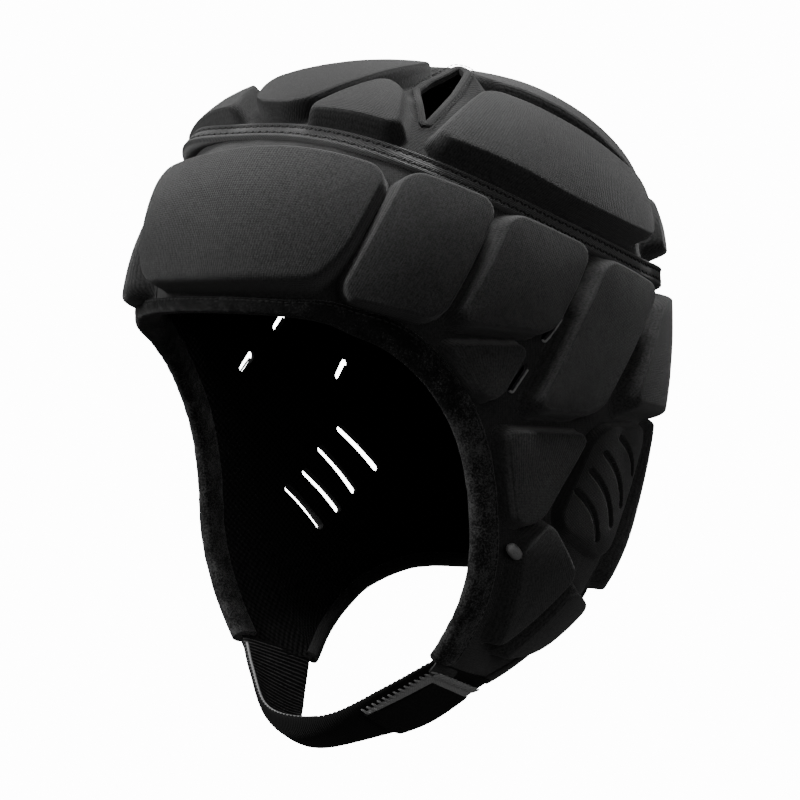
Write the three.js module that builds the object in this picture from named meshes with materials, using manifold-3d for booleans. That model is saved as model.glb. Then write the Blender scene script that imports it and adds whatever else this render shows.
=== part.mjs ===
// Padded head guard: a soft two-panel shell with foam pads, bound edges and a chin strap.
// Millimetres, +Z up, the face towards -Y, the wearer's left towards +X.
// The origin is the middle of the head hollow, where the dome meets the upright sides.

import * as THREE from 'three';
import { mergeVertices } from 'three/addons/utils/BufferGeometryUtils.js';
import Module from 'manifold-3d';

const wasm = await Module();
wasm.setup();

// Head form: the outer face of the shell, half sizes at the origin's level and how they fall below it.
const FORM = {
  halfWidth: 78.5,
  front: 95,
  back: 102.5,
  height: 82,
  domePower: 2.4,
  planPower: 2.35,
  cheekCurl: { from: 84, span: 57, power: 1.9, by: 31 },
  faceTuck: { from: 0, span: 126, power: 2, by: 10 },
  napeTuck: { from: 0, span: 106, power: 2.2, by: 37.5 },
};
const WALL = 2.4;
const GAP = 0.6;
const INNER_GAP = 1.7;
const SHELL_COLUMNS = 32;
const DOME_ROWS = 6;
const SHELL_LEVELS = [-24, -48, -68, -86, -104, -122, -150];

// Taped seam between crown and sides: in side view a shallow curve that falls towards the nape.
const SEAM = { level: 30.8, fall: 0.36, sag: 0.0012, halfGap: 0.2, steps: 14 };
const TAPE = { width: 10, thickness: 1.4, steps: 44 };

// Edge of the side panel, from the middle of the brow to the middle of the nape, as angle and height.
const FACE_EDGE = [
  { angle: 0, z: -5 },
  { angle: 30, z: -6.5 },
  { angle: 42, z: -10 },
  { angle: 52, z: -15.5 },
  { angle: 61.5, z: -27.5 },
  { angle: 69, z: -45 },
  { angle: 72.5, z: -66 },
  { angle: 73, z: -90 },
  { angle: 72.5, z: -110 },
  { angle: 71, z: -129.5 },
];
const HEM_EDGE = [
  { angle: 90, z: -141 },
  { angle: 98, z: -136.5 },
  { angle: 108, z: -129.5 },
  { angle: 118, z: -121.5 },
  { angle: 128, z: -113.5 },
  { angle: 144, z: -106.5 },
  { angle: 162, z: -105.5 },
  { angle: 180, z: -105.5 },
];
const FACE_BINDING = { flange: 6.5, thickness: 1.5, nose: 2, steps: 32 };
const HEM_BINDING = { flange: 5.5, thickness: 0.9, nose: 1.2, steps: 22 };
const EDGE_RELIEF = 2.8;
// Unbound edge of the cheek tips, between the two bindings, as side-view y and z.
const TIP_EDGE = [[-27.5, -131.4], [-6, -140]];

// Pads round the sides: corners run top front, top rear, bottom rear, bottom front, as angle and height.
// cells counts the inner facets along and up, height is the foam's, radius rounds the corners.
// bow lowers or raises the middle of the top and bottom side, sideBow moves that of the other two along X.
// The brow pad ends sooner on the wearer's right, so the pads beside and above it reach further forward there.
const SIDE_PADS = [
  { name: 'temple_pad', cells: [3, 3], height: 9, bevel: 4.5, radius: 8,
    corners: [[54, 44.5], [77.5, 33.5], [62, -7.5], [37.3, 2]],
    rightCorners: [[25.5, 39], [77.5, 33.5], [62, -7.5], [24.5, 2.5]] },
  { name: 'side_pad', cells: [2, 2], height: 9, bevel: 4.5, radius: 8,
    corners: [[79.5, 31.5], [97.3, 19], [88.5, -12.5], [64, -8]] },
  { name: 'rear_side_pad', cells: [2, 3], height: 9, bevel: 4.5, radius: 8,
    corners: [[100.5, 16.5], [122.5, 5.5], [98.5, -42.5], [83, -40]] },
  { name: 'back_pad', cells: [6, 3], height: 9, bevel: 4.5, radius: 8,
    corners: [[127, 3], [177, -2], [177, -45], [107.5, -41.5]] },
  { name: 'temple_wedge', cells: [2, 1], height: 7, bevel: 3, radius: 5,
    corners: [[63.5, -14.5], [84, -15.5], [76.5, -35], [72.5, -35]] },
  { name: 'ear_wedge', cells: [2, 2], height: 7, bevel: 3, radius: 5,
    corners: [[78.7, -45.5], [97.5, -48.7], [86, -80], [80.5, -80]] },
  { name: 'cheek_pad_upper', cells: [2, 3], height: 7, bevel: 3, radius: 5,
    corners: [[81.5, -88], [88.5, -78.5], [98, -98], [81.5, -124]] },
  { name: 'cheek_pad_lower', cells: [3, 2], height: 7, bevel: 3, radius: 5,
    corners: [[98.5, -102], [115, -110], [97.5, -126.5], [84.5, -128]] },
  { name: 'nape_pad', cells: [5, 3], height: 7, bevel: 3.5, radius: 8,
    corners: [[135, -49], [177, -49], [177, -93], [121, -99]] },
];
const BROW_PAD = { name: 'brow_pad', cells: [9, 3], height: 9.5, bevel: 5, radius: 9,
  corners: [[-20.5, 44], [51, 43.5], [36, 4], [-19.5, 4]] };
const EAR_COVER = { name: 'ear_cover', cells: [2, 2], height: 3.8, bevel: 2.5, radius: 9,
  corners: [[101.5, -46.5], [129, -47], [112, -95.5], [90.5, -81]] };

// Pads on the crown: corners as plan x and y, or as angle and height where they stand steep.
const CROWN_PADS = [
  { name: 'crown_wedge', cells: [2, 2], height: 8, bevel: 3.5, radius: 5,
    plan: [[26, -63.7], [30.5, -34.5], [42.5, -33.5], [52.5, -47]],
    rightPlan: [[8, -65.5], [27, -43], [42, -36], [52.5, -47]] },
  { name: 'crown_side_pad', cells: [6, 3], height: 9, bevel: 4.5, radius: 8, bow: [-5, -7],
    corners: [[88, 71.5], [128, 42], [123.5, 21.7], [61.5, 54.5]] },
  { name: 'crown_rear_pad', cells: [5, 2], height: 8, bevel: 4, radius: 8,
    corners: [[134, 34.5], [177, 37], [177, 12], [128, 16.5]] },
];
const CROWN_FRONT_PAD = { name: 'crown_front_pad', cells: [3, 5], height: 8, bevel: 4, radius: 8,
  sideBow: [-6, 8], plan: [[-3, -65], [18.5, -64.5], [18, 2], [-22, 0]] };
const CROWN_BACK_PAD = { name: 'crown_back_pad', cells: [9, 5], height: 8, bevel: 4, radius: 8,
  plan: [[-39, 9], [39, 9], [56.5, 64.5], [-56.5, 64.5]] };
const PAD_WAIST = 0.45;
const PAD_SHOULDER = 1.2;

// Openings: kite vents in the crown, slits in the channels, curved slots over the ears.
const CROWN_VENT = { plan: [[51.5, -35.5], [44.5, -13], [31, 3.5], [29.5, -12]], rim: 3, rimThickness: 1.2 };
const SLITS = { length: 7.5, width: 3.4, places: [
  { angle: 96.2, z: 7.5, toAngle: 93.6 },
  { angle: 92.4, z: -5.5, toAngle: 89.6 },
  { angle: 85.5, z: -23.5, toAngle: 82 },
  { angle: 110, z: -24.5, toAngle: 107.8 },
] };
const EAR_SLOTS = { width: 3.4, bow: 1.5, steps: 2, places: [
  { angle: 95.5, z: -69, toAngle: 104.5, toZ: -87 },
  { angle: 99.8, z: -62, toAngle: 110.5, toZ: -82.5 },
  { angle: 104.5, z: -56, toAngle: 115, toZ: -75.5 },
  { angle: 110.5, z: -50.5, toAngle: 120, toZ: -64 },
] };
const CUT_DEPTH = 14;

// Chin strap, from the cheek tips to the midline: its front and rear edges.
// It swells outwards into a shallow chin cup at the midline.
const STRAP = { thickness: 2.6, cup: 3.4, steps: 22, rows: [
  { front: [50.5, -33.5, -132], rear: [47, -3, -142.6] },
  { front: [37.5, -41.5, -139.5], rear: [34.5, -17, -154] },
  { front: [19, -51, -149.5], rear: [17.5, -32.5, -159.5] },
  { front: [0, -53.5, -152], rear: [0, -36.5, -163] },
] };
const PATCH = { thickness: 1.3, margin: 0.06, from: 0.035, to: 0.25, steps: 6 };

const CLOTH = { color: 0x17181a, roughness: 0.86, metalness: 0 };
const PAD_CLOTH = { color: 0x1e1f21, roughness: 0.8, metalness: 0 };
const VELOUR = { color: 0x121213, roughness: 0.95, metalness: 0 };
const WEBBING = { color: 0x101112, roughness: 0.75, metalness: 0 };
const PATCH_CLOTH = { color: 0x4a4c4f, roughness: 0.8, metalness: 0 };

const radians = THREE.MathUtils.degToRad;

// Fall of one half size at a depth below the origin.
function fallAt({ from, span, power, by }, depth) {
  return by * (Math.max(depth - from, 0) / span) ** power;
}

function halfSizes(z) {
  const depth = Math.max(-z, 0);
  return {
    width: FORM.halfWidth - fallAt(FORM.cheekCurl, depth),
    front: FORM.front - fallAt(FORM.faceTuck, depth),
    back: FORM.back - fallAt(FORM.napeTuck, depth),
  };
}

// Shrink of the plan section towards the top of the dome.
function domeShrink(z) {
  const rise = Math.min(Math.max(z / FORM.height, 0), 1);
  return (1 - rise ** FORM.domePower) ** (1 / FORM.domePower);
}

// Point on the shell's outer face at an angle from the face (degrees, left positive) and a height.
function formPoint(angle, z) {
  const { width, front, back } = halfSizes(z);
  const s = Math.sin(radians(angle));
  const c = Math.cos(radians(angle));
  const power = 2 / FORM.planPower;
  const shrink = domeShrink(z);
  const x = width * shrink * Math.sign(s) * Math.abs(s) ** power;
  const y = -(c > 0 ? front : back) * shrink * Math.sign(c) * Math.abs(c) ** power;
  return new THREE.Vector3(x, y, z);
}

// Level set of the outer face: below zero inside it.
function formValue(p) {
  const { width, front, back } = halfSizes(p.z);
  const depth = p.y < 0 ? front : back;
  const plan = (Math.abs(p.x) / width) ** FORM.planPower + (Math.abs(p.y) / depth) ** FORM.planPower;
  const rise = Math.max(p.z, 0) / FORM.height;
  return plan ** (FORM.domePower / FORM.planPower) + rise ** FORM.domePower - 1;
}

function formGradient(p) {
  const step = 0.01;
  const slope = (axis) => {
    const ahead = p.clone();
    const behind = p.clone();
    ahead[axis] += step;
    behind[axis] -= step;
    return (formValue(ahead) - formValue(behind)) / (2 * step);
  };
  return new THREE.Vector3(slope('x'), slope('y'), slope('z'));
}

// Nearest point of the outer face, lifted by a height along the face's normal.
function seat(point, lift) {
  const p = point.clone();
  for (let i = 0; i < 8; i += 1) {
    const gradient = formGradient(p);
    p.addScaledVector(gradient, -formValue(p) / gradient.lengthSq());
  }
  return p.addScaledVector(formGradient(p).normalize(), lift);
}

function planPoint(x, y) {
  const depth = y < 0 ? FORM.front : FORM.back;
  const plan = (Math.abs(x) / FORM.halfWidth) ** FORM.planPower + (Math.abs(y) / depth) ** FORM.planPower;
  const rise = (1 - plan ** (FORM.domePower / FORM.planPower)) ** (1 / FORM.domePower);
  return new THREE.Vector3(x, y, FORM.height * rise);
}

// Closed triangle mesh gathered from rows of points.
class Body {
  constructor() {
    this.points = [];
    this.faces = [];
  }

  add(p) {
    this.points.push(p);
    return this.points.length - 1;
  }

  row(points) {
    return points.map((p) => this.add(p));
  }

  quad(a, b, c, d) {
    this.faces.push([a, b, c], [a, c, d]);
  }

  // Strip of quads between two rows, closed on itself where they are rings.
  strip(lower, upper, closed) {
    const count = closed ? lower.length : lower.length - 1;
    for (let i = 0; i < count; i += 1) {
      const j = (i + 1) % lower.length;
      this.quad(lower[i], lower[j], upper[j], upper[i]);
    }
  }

  fan(ring, tip) {
    ring.forEach((a, i) => this.faces.push([a, ring[(i + 1) % ring.length], tip]));
  }

  // Turns the faces out where they all point in, and gives the vertices and triangles.
  arrays() {
    const volume = this.faces.reduce((sum, [a, b, c]) => {
      const cross = this.points[b].clone().cross(this.points[c]);
      return sum + this.points[a].dot(cross);
    }, 0);
    const faces = volume > 0 ? this.faces : this.faces.map(([a, b, c]) => [a, c, b]);
    const vertProperties = new Float32Array(this.points.flatMap((p) => p.toArray()));
    return { numProp: 3, vertProperties, triVerts: new Uint32Array(faces.flat()) };
  }

  solid() {
    return new wasm.Manifold(new wasm.Mesh(this.arrays()));
  }

  geometry() {
    return geometryOf(this.arrays());
  }
}

function geometryOf({ numProp, vertProperties, triVerts }) {
  const geometry = new THREE.BufferGeometry();
  geometry.setAttribute('position', new THREE.BufferAttribute(Float32Array.from(vertProperties), numProp));
  geometry.setIndex(Array.from(triVerts));
  return geometry;
}

function solidOf(geometry) {
  geometry.deleteAttribute('normal');
  geometry.deleteAttribute('uv');
  const merged = mergeVertices(geometry, 1e-4);
  return new wasm.Manifold(new wasm.Mesh({
    numProp: 3,
    vertProperties: Float32Array.from(merged.attributes.position.array),
    triVerts: Uint32Array.from(merged.index.array),
  }));
}

// Hollow shell of the whole head form, open at the bottom, before its edges are cut.
function shellSolid() {
  const levels = [];
  for (let i = 1; i < DOME_ROWS; i += 1) {
    const rise = Math.sin((1 - i / DOME_ROWS) * Math.PI / 2);
    levels.push(FORM.height * rise ** (2 / FORM.domePower));
  }
  levels.push(0, ...SHELL_LEVELS);
  const body = new Body();
  const skins = [0, -WALL].map((lift) => {
    const rings = levels.map((z) => {
      const ring = [];
      for (let i = 0; i < SHELL_COLUMNS; i += 1) {
        ring.push(seat(formPoint((i + 0.5) * 360 / SHELL_COLUMNS, z), lift));
      }
      return body.row(ring);
    });
    return { rings, top: body.add(new THREE.Vector3(0, 0, FORM.height + lift)) };
  });
  const [outer, inner] = skins;
  const turned = (ring) => [...ring].reverse();
  body.fan(turned(outer.rings[0]), outer.top);
  body.fan(inner.rings[0], inner.top);
  for (let i = 0; i + 1 < levels.length; i += 1) {
    body.strip(outer.rings[i], outer.rings[i + 1], true);
    body.strip(turned(inner.rings[i]), turned(inner.rings[i + 1]), true);
  }
  body.strip(outer.rings.at(-1), inner.rings.at(-1), true);
  return body.solid();
}

// Prism across the whole head from a side-view outline of [y, z] points.
function sidePrism(outline) {
  const reach = 150;
  const shape = new THREE.Shape(outline.map(([y, z]) => new THREE.Vector2(y, z)));
  const geometry = new THREE.ExtrudeGeometry(shape, { depth: 2 * reach, bevelEnabled: false });
  // The outline's plane turns from XY to YZ, and the extrusion runs along X.
  geometry.applyMatrix4(new THREE.Matrix4().set(0, 0, 1, -reach, 1, 0, 0, 0, 0, 1, 0, 0, 0, 0, 0, 1));
  return solidOf(geometry);
}

// Points of an edge on the form, with its direction into the cloth, from an angle and height table.
function edgeFrames(rows, steps) {
  const curve = new THREE.SplineCurve(rows.map(({ angle, z }) => new THREE.Vector2(angle, z)));
  const places = curve.getSpacedPoints(steps).map((p) => seat(formPoint(p.x, p.y), 0));
  return places.map((point, i) => {
    const ahead = places[Math.min(i + 1, steps)];
    const behind = places[Math.max(i - 1, 0)];
    const along = ahead.clone().sub(behind).normalize();
    const normal = formGradient(point).normalize();
    return { point, into: normal.cross(along).normalize() };
  });
}

// Strip that wraps an edge: a channel section swept along it, open at both ends of the run.
function bindingBody(frames, { flange, thickness, nose }) {
  const outside = GAP + thickness;
  const lining = -WALL - INNER_GAP;
  const section = [
    [flange, GAP], [flange, outside], [0, outside], [-nose, 0], [-nose, -WALL],
    [0, lining - thickness], [flange, lining - thickness], [flange, lining], [-GAP, lining], [-GAP, GAP],
  ];
  const body = new Body();
  const rings = frames.map(({ point, into }) => body.row(
    section.map(([across, lift]) => seat(point.clone().addScaledVector(into, across), lift)),
  ));
  for (let i = 0; i + 1 < rings.length; i += 1) {
    body.strip(rings[i], rings[i + 1], true);
  }
  // The channel's ends close as three flat bars: outer flange, nose and inner flange.
  const bars = [[0, 1, 2, 9], [2, 3, 4, 5, 8, 9], [5, 6, 7, 8]];
  const cap = (ring, turned) => bars.forEach((bar) => {
    const loop = (turned ? [...bar].reverse() : bar).map((k) => ring[k]);
    for (let k = 1; k + 1 < loop.length; k += 1) {
      body.faces.push([loop[0], loop[k], loop[k + 1]]);
    }
  });
  cap(rings[0], true);
  cap(rings.at(-1), false);
  return body;
}

function seamHeight(y) {
  return SEAM.level - SEAM.fall * y + SEAM.sag * y * y;
}

// Ring along the seam, shifted by an offset across it.
function seamRing(offset, lift, steps) {
  const rise = offset * Math.hypot(1, SEAM.fall);
  const ring = [];
  for (let i = 0; i < steps; i += 1) {
    const angle = (i + 0.5) * 360 / steps;
    let low = -40;
    let high = FORM.height;
    for (let k = 0; k < 40; k += 1) {
      const z = (low + high) / 2;
      const above = z - rise - seamHeight(formPoint(angle, z).y);
      low = above > 0 ? low : z;
      high = above > 0 ? z : high;
    }
    ring.push(seat(formPoint(angle, low), lift));
  }
  return ring;
}

function tapeBody() {
  const half = TAPE.width / 2;
  const body = new Body();
  const edges = [[-half, GAP], [half, GAP], [half, GAP + TAPE.thickness], [-half, GAP + TAPE.thickness]];
  const rings = edges.map(([offset, lift]) => body.row(seamRing(offset, lift, TAPE.steps)));
  rings.forEach((ring, i) => body.strip(ring, rings[(i + 1) % rings.length], true));
  return body;
}

// Share of a pad's side at each facet line: close to the ends for the round corners, even between.
function facetLines(cells, end) {
  const lines = [0, end];
  for (let i = 1; i <= cells; i += 1) {
    lines.push(end + (1 - 2 * end) * i / cells);
  }
  return [...lines, 1];
}

function cornersOf({ corners, plan }) {
  return plan ? plan.map(([x, y]) => planPoint(x, y)) : corners.map(([angle, z]) => formPoint(angle, z));
}

// Patch of the form between four corners: grid of points at a lift, drawn in by an inset all round.
function patchGrid(pad, inset, liftAt) {
  const [a, b, c, d] = cornersOf(pad);
  const width = (a.distanceTo(b) + d.distanceTo(c)) / 2;
  const length = (a.distanceTo(d) + b.distanceTo(c)) / 2;
  const us = facetLines(pad.cells[0], pad.radius / Math.max(width, 2.6 * pad.radius));
  const vs = facetLines(pad.cells[1], pad.radius / Math.max(length, 2.6 * pad.radius));
  const cornerDrop = pad.radius * (1 - Math.SQRT1_2);
  const [topBow, bottomBow] = pad.bow ?? [0, 0];
  const [startBow, endBow] = pad.sideBow ?? [0, 0];
  return vs.map((v, j) => us.map((u, i) => {
    const onCorner = (i === 0 || i === us.length - 1) && (j === 0 || j === vs.length - 1);
    const draw = inset + (onCorner ? cornerDrop : 0);
    const s = 0.5 + (u - 0.5) * (1 - 2 * draw / width);
    const t = 0.5 + (v - 0.5) * (1 - 2 * draw / length);
    const top = a.clone().lerp(b, s);
    const bottom = d.clone().lerp(c, s);
    const onRim = i === 0 || j === 0 || i === us.length - 1 || j === vs.length - 1;
    const point = top.lerp(bottom, t);
    point.z += 4 * s * (1 - s) * (topBow * (1 - t) + bottomBow * t);
    point.x += 4 * t * (1 - t) * (startBow * (1 - s) + endBow * s);
    return seat(point, liftAt(onRim));
  }));
}

function rimOf(grid) {
  const last = grid.length - 1;
  const across = grid[0].length - 1;
  const down = grid.slice(1, last);
  return [
    ...grid[0],
    ...down.map((row) => row[across]),
    ...[...grid[last]].reverse(),
    ...down.map((row) => row[0]).reverse(),
  ];
}

// Closed body of stacked patches: a floor grid, plain rims between, and a top grid.
function stackedBody(floor, waists, top) {
  const body = new Body();
  const floorRows = floor.map((row) => body.row(row));
  const rims = waists.map((waist) => body.row(rimOf(waist)));
  const topRows = top.map((row) => body.row(row));
  for (let j = 0; j + 1 < floorRows.length; j += 1) {
    body.strip(floorRows[j], floorRows[j + 1], false);
    body.strip([...topRows[j]].reverse(), [...topRows[j + 1]].reverse(), false);
  }
  const stack = [rimOf(floorRows), ...rims, rimOf(topRows)];
  for (let k = 0; k + 1 < stack.length; k += 1) {
    body.strip([...stack[k]].reverse(), [...stack[k + 1]].reverse(), true);
  }
  return body;
}

// Foam pad: upright rim to a waist, then a bevel to a slightly crowned top.
function padBody(pad) {
  const floor = patchGrid(pad, 0, () => GAP);
  const waist = patchGrid(pad, 0, () => GAP + pad.height * PAD_WAIST);
  const top = patchGrid(pad, pad.bevel, (onRim) => GAP + pad.height - (onRim ? PAD_SHOULDER : 0));
  return stackedBody(floor, [waist], top);
}

// Straight-walled plug through the shell, over a patch grown all round.
function plugBody(patch, grow) {
  const low = patchGrid(patch, -grow, () => -CUT_DEPTH);
  const high = patchGrid(patch, -grow, () => CUT_DEPTH);
  return stackedBody(low, [], high);
}

// Long narrow plug along a path on the form.
function slotBody(path, width) {
  const body = new Body();
  const corners = [[-1, -1], [1, -1], [1, 1], [-1, 1]];
  const rings = path.map((point, i) => {
    const ahead = path[Math.min(i + 1, path.length - 1)];
    const behind = path[Math.max(i - 1, 0)];
    const normal = formGradient(point).normalize();
    const side = ahead.clone().sub(behind).cross(normal).normalize();
    return body.row(corners.map(([across, up]) => point.clone()
      .addScaledVector(side, across * width / 2)
      .addScaledVector(normal, up * CUT_DEPTH)));
  });
  for (let i = 0; i + 1 < rings.length; i += 1) {
    body.strip(rings[i], rings[i + 1], true);
  }
  body.quad(...[...rings[0]].reverse());
  body.quad(...rings.at(-1));
  return body;
}

function slitPath({ angle, z, toAngle }, sign) {
  const start = formPoint(sign * angle, z);
  const aim = formPoint(sign * toAngle, z - SLITS.length / 2).sub(start).normalize();
  const half = aim.multiplyScalar(SLITS.length / 2);
  return [start.clone().sub(half), start.clone().add(half)].map((p) => seat(p, 0));
}

function earSlotPath({ angle, z, toAngle, toZ }, sign) {
  const path = [];
  for (let i = 0; i <= EAR_SLOTS.steps; i += 1) {
    const t = i / EAR_SLOTS.steps;
    const bow = EAR_SLOTS.bow * 4 * t * (1 - t);
    path.push(formPoint(sign * (angle + (toAngle - angle) * t + bow), z + (toZ - z) * t));
  }
  return path;
}

// Band round a hole: four rings, two at the hole's edge and two a rim's width outside it.
function rimBody(patch, { rim, rimThickness }) {
  const corners = [[0, GAP], [0, GAP + rimThickness], [-rim, GAP + rimThickness], [-rim, GAP]];
  const body = new Body();
  const rings = corners.map(([inset, lift]) => body.row(rimOf(patchGrid(patch, inset, () => lift))));
  rings.forEach((ring, i) => body.strip(ring, rings[(i + 1) % rings.length], true));
  return body;
}

function strapEdge(key) {
  const left = STRAP.rows.map((row) => new THREE.Vector3(...row[key]));
  const right = left.slice(0, -1).map((p) => new THREE.Vector3(-p.x, p.y, p.z)).reverse();
  return new THREE.CatmullRomCurve3([...left, ...right]);
}

const strapFront = strapEdge('front');
const strapRear = strapEdge('rear');

// Point on the strap: a share of its length from the left end, a share of its width, and a lift outwards.
function strapPoint(along, across, lift) {
  const front = strapFront.getPoint(along);
  const rear = strapRear.getPoint(along);
  const way = strapFront.getTangent(along).add(strapRear.getTangent(along));
  const outward = way.cross(rear.clone().sub(front)).normalize();
  return front.lerp(rear, across).addScaledVector(outward, lift);
}

// Swell of the chin cup over the strap's outer face.
function cupAt(along) {
  return STRAP.cup * Math.sin(Math.PI * along) ** 2;
}

function strapBody({ from, to, steps, margin, low, high }) {
  const layer = (liftAt) => [0, 0.5, 1].map((share) => {
    const across = margin + share * (1 - 2 * margin);
    const row = [];
    for (let i = 0; i <= steps; i += 1) {
      const along = from + (to - from) * i / steps;
      row.push(strapPoint(along, across, liftAt(along)));
    }
    return row;
  });
  return stackedBody(layer(low), [], layer(high));
}

function mirrored(pad, sign) {
  const flip = ([across, other]) => [sign * across, other];
  const corners = sign < 0 && pad.rightCorners ? pad.rightCorners : pad.corners;
  const plan = sign < 0 && pad.rightPlan ? pad.rightPlan : pad.plan;
  return { ...pad, corners: corners?.map(flip), plan: plan?.map(flip) };
}

const SIDES = [['l', 1], ['r', -1]];
const guard = new THREE.Group();

function addMesh(name, geometry, finish) {
  const mesh = new THREE.Mesh(geometry, new THREE.MeshStandardMaterial(finish));
  mesh.name = name;
  guard.add(mesh);
}

// Shell panels: the shell trimmed to its edges, split at the seam and pierced.
const turnedRows = (rows, middle) => rows.map(({ angle, z }) => ({ angle: 2 * middle - angle, z })).reverse();
const faceFrames = edgeFrames([...turnedRows(FACE_EDGE, 0), ...FACE_EDGE.slice(1)], FACE_BINDING.steps);
const hemFrames = edgeFrames([...HEM_EDGE, ...turnedRows(HEM_EDGE, 180).slice(1)], HEM_BINDING.steps);
const relieved = ({ point, into }) => {
  const p = seat(point.clone().addScaledVector(into, EDGE_RELIEF), -WALL / 2);
  return [p.y, p.z];
};
const beyond = 160;
const faceOutline = faceFrames.slice(FACE_BINDING.steps / 2).map(relieved);
const hemOutline = hemFrames.slice(0, HEM_BINDING.steps / 2 + 1).map(relieved);
const trim = sidePrism([
  [-beyond, faceOutline[0][1]], ...faceOutline, ...TIP_EDGE, ...hemOutline,
  [beyond, hemOutline.at(-1)[1]], [beyond, beyond], [-beyond, beyond],
]);
const seamLine = (shift) => {
  const line = [];
  for (let i = 0; i <= SEAM.steps; i += 1) {
    const y = beyond * (2 * i / SEAM.steps - 1);
    line.push([y, seamHeight(y) + shift]);
  }
  return line;
};
const above = sidePrism([...seamLine(SEAM.halfGap), [beyond, 2 * beyond], [-beyond, 2 * beyond]]);
const underSeam = seamLine(-SEAM.halfGap).reverse();
const below = sidePrism([[-beyond, -2 * beyond], [beyond, -2 * beyond], ...underSeam]);
const cap = shellSolid().intersect(trim);

const ventPatch = (sign) => ({ ...mirrored(CROWN_VENT, sign), cells: [2, 2], radius: 3 });
let crown = cap.intersect(above);
let sides = cap.intersect(below);
const earCuts = {};
for (const [suffix, sign] of SIDES) {
  crown = crown.subtract(plugBody(ventPatch(sign), 0).solid());
  const earPaths = EAR_SLOTS.places.map((place) => earSlotPath(place, sign));
  earCuts[suffix] = earPaths.map((path) => slotBody(path, EAR_SLOTS.width).solid());
  const slitPaths = SLITS.places.map((place) => slitPath(place, sign));
  const slits = slitPaths.map((path) => slotBody(path, SLITS.width).solid());
  for (const cut of [...earCuts[suffix], ...slits]) {
    sides = sides.subtract(cut);
  }
}
addMesh('crown_panel', geometryOf(crown.getMesh()), CLOTH);
addMesh('side_panel', geometryOf(sides.getMesh()), CLOTH);

// Tape and bound edges.
addMesh('crown_tape', tapeBody().geometry(), CLOTH);
addMesh('face_binding', bindingBody(faceFrames, FACE_BINDING).geometry(), VELOUR);
addMesh('hem_binding', bindingBody(hemFrames, HEM_BINDING).geometry(), CLOTH);
for (const [suffix, sign] of SIDES) {
  addMesh(`vent_rim_${suffix}`, rimBody(ventPatch(sign), CROWN_VENT).geometry(), CLOTH);
}

// Pads on the midline, then the pairs.
for (const pad of [BROW_PAD, CROWN_FRONT_PAD, CROWN_BACK_PAD]) {
  addMesh(pad.name, padBody(pad).geometry(), PAD_CLOTH);
}
for (const [suffix, sign] of SIDES) {
  for (const pad of [...SIDE_PADS, ...CROWN_PADS]) {
    addMesh(`${pad.name}_${suffix}`, padBody(mirrored(pad, sign)).geometry(), PAD_CLOTH);
  }
  const cover = earCuts[suffix].reduce(
    (solid, cut) => solid.subtract(cut),
    padBody(mirrored(EAR_COVER, sign)).solid(),
  );
  addMesh(`${EAR_COVER.name}_${suffix}`, geometryOf(cover.getMesh()), PAD_CLOTH);
}

// Chin strap, and the patch sewn on the outside of its left end.
const strapHalf = STRAP.thickness / 2;
const outerFace = (lift) => (along) => strapHalf + cupAt(along) + lift;
const strapRun = { from: 0, to: 1, steps: STRAP.steps, margin: 0, low: () => -strapHalf, high: outerFace(0) };
addMesh('chin_strap', strapBody(strapRun).geometry(), WEBBING);
const patchRun = { ...PATCH, low: outerFace(GAP), high: outerFace(GAP + PATCH.thickness) };
addMesh('strap_patch', strapBody(patchRun).geometry(), PATCH_CLOTH);

export default guard;
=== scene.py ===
"""Dresses the head guard: moulded foam pads on a cloth shell, bound edges, a taped seam and a chin strap.

Lengths are in millimetres until a mesh is made. +Z is up, the face looks along -Y, the wearer's left is +X.
An angle runs round the head from the face, positive to the wearer's left.
"""

import math

import bpy
import numpy as np
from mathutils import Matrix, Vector


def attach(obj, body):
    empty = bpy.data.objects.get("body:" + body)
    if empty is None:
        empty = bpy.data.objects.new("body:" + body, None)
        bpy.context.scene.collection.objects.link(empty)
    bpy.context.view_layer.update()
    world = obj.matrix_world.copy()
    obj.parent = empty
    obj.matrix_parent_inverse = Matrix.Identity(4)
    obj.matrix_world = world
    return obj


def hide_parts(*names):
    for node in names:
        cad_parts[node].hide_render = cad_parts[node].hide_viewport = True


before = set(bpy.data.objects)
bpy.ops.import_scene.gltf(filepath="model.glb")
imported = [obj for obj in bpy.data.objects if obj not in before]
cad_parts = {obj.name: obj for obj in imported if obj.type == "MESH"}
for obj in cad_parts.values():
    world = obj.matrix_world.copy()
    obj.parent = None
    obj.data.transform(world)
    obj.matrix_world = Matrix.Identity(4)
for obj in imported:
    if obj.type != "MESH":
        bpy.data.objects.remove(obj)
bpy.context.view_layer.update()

MM = 0.001
# Edges sharper than this show, in degrees.
SHARP_ANGLE = 55.0
# Tag and sign of the wearer's left and right.
SIDES = (("_l", 1), ("_r", -1))

guard = bpy.data.collections.new("head_guard")
bpy.context.scene.collection.children.link(guard)

# The head form that every piece lies on.
HALF_WIDTH = 78.5
FRONT = 95.0
BACK = 102.5
HEIGHT = 82.0
DOME_POWER = 2.4
PLAN_POWER = 2.35
# Falls of the half sizes below the origin: start depth, span, power, amount.
CHEEK_CURL = (84.0, 57.0, 1.9, 31.0)
FACE_TUCK = (0.0, 126.0, 2.0, 10.0)
NAPE_TUCK = (0.0, 106.0, 2.2, 37.5)

# The cloth shell: its thickness, how far it stops short of its bound edges and of the crown seam, its slight
# unevenness as height and size, and the spacing and reach of its mesh.
CLOTH = 1.8
EDGE_SHORT = 0.8
SEAM_SHORT = 0.2
CLOTH_SWAY = (0.25, 23.0)
PANEL_STEP = 1.9
PANEL_HEIGHTS = (-146.0, 66.0)
CROWN_ROWS = 80
DOME_REACH = 90.0
# Closer spacing round the slits and ear slots: angles and heights between which it holds.
PANEL_FINE_STEP = 0.95
PANEL_FINE_ANGLES = (78.0, 124.0)
PANEL_FINE_HEIGHTS = (-94.0, 6.0)

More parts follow.
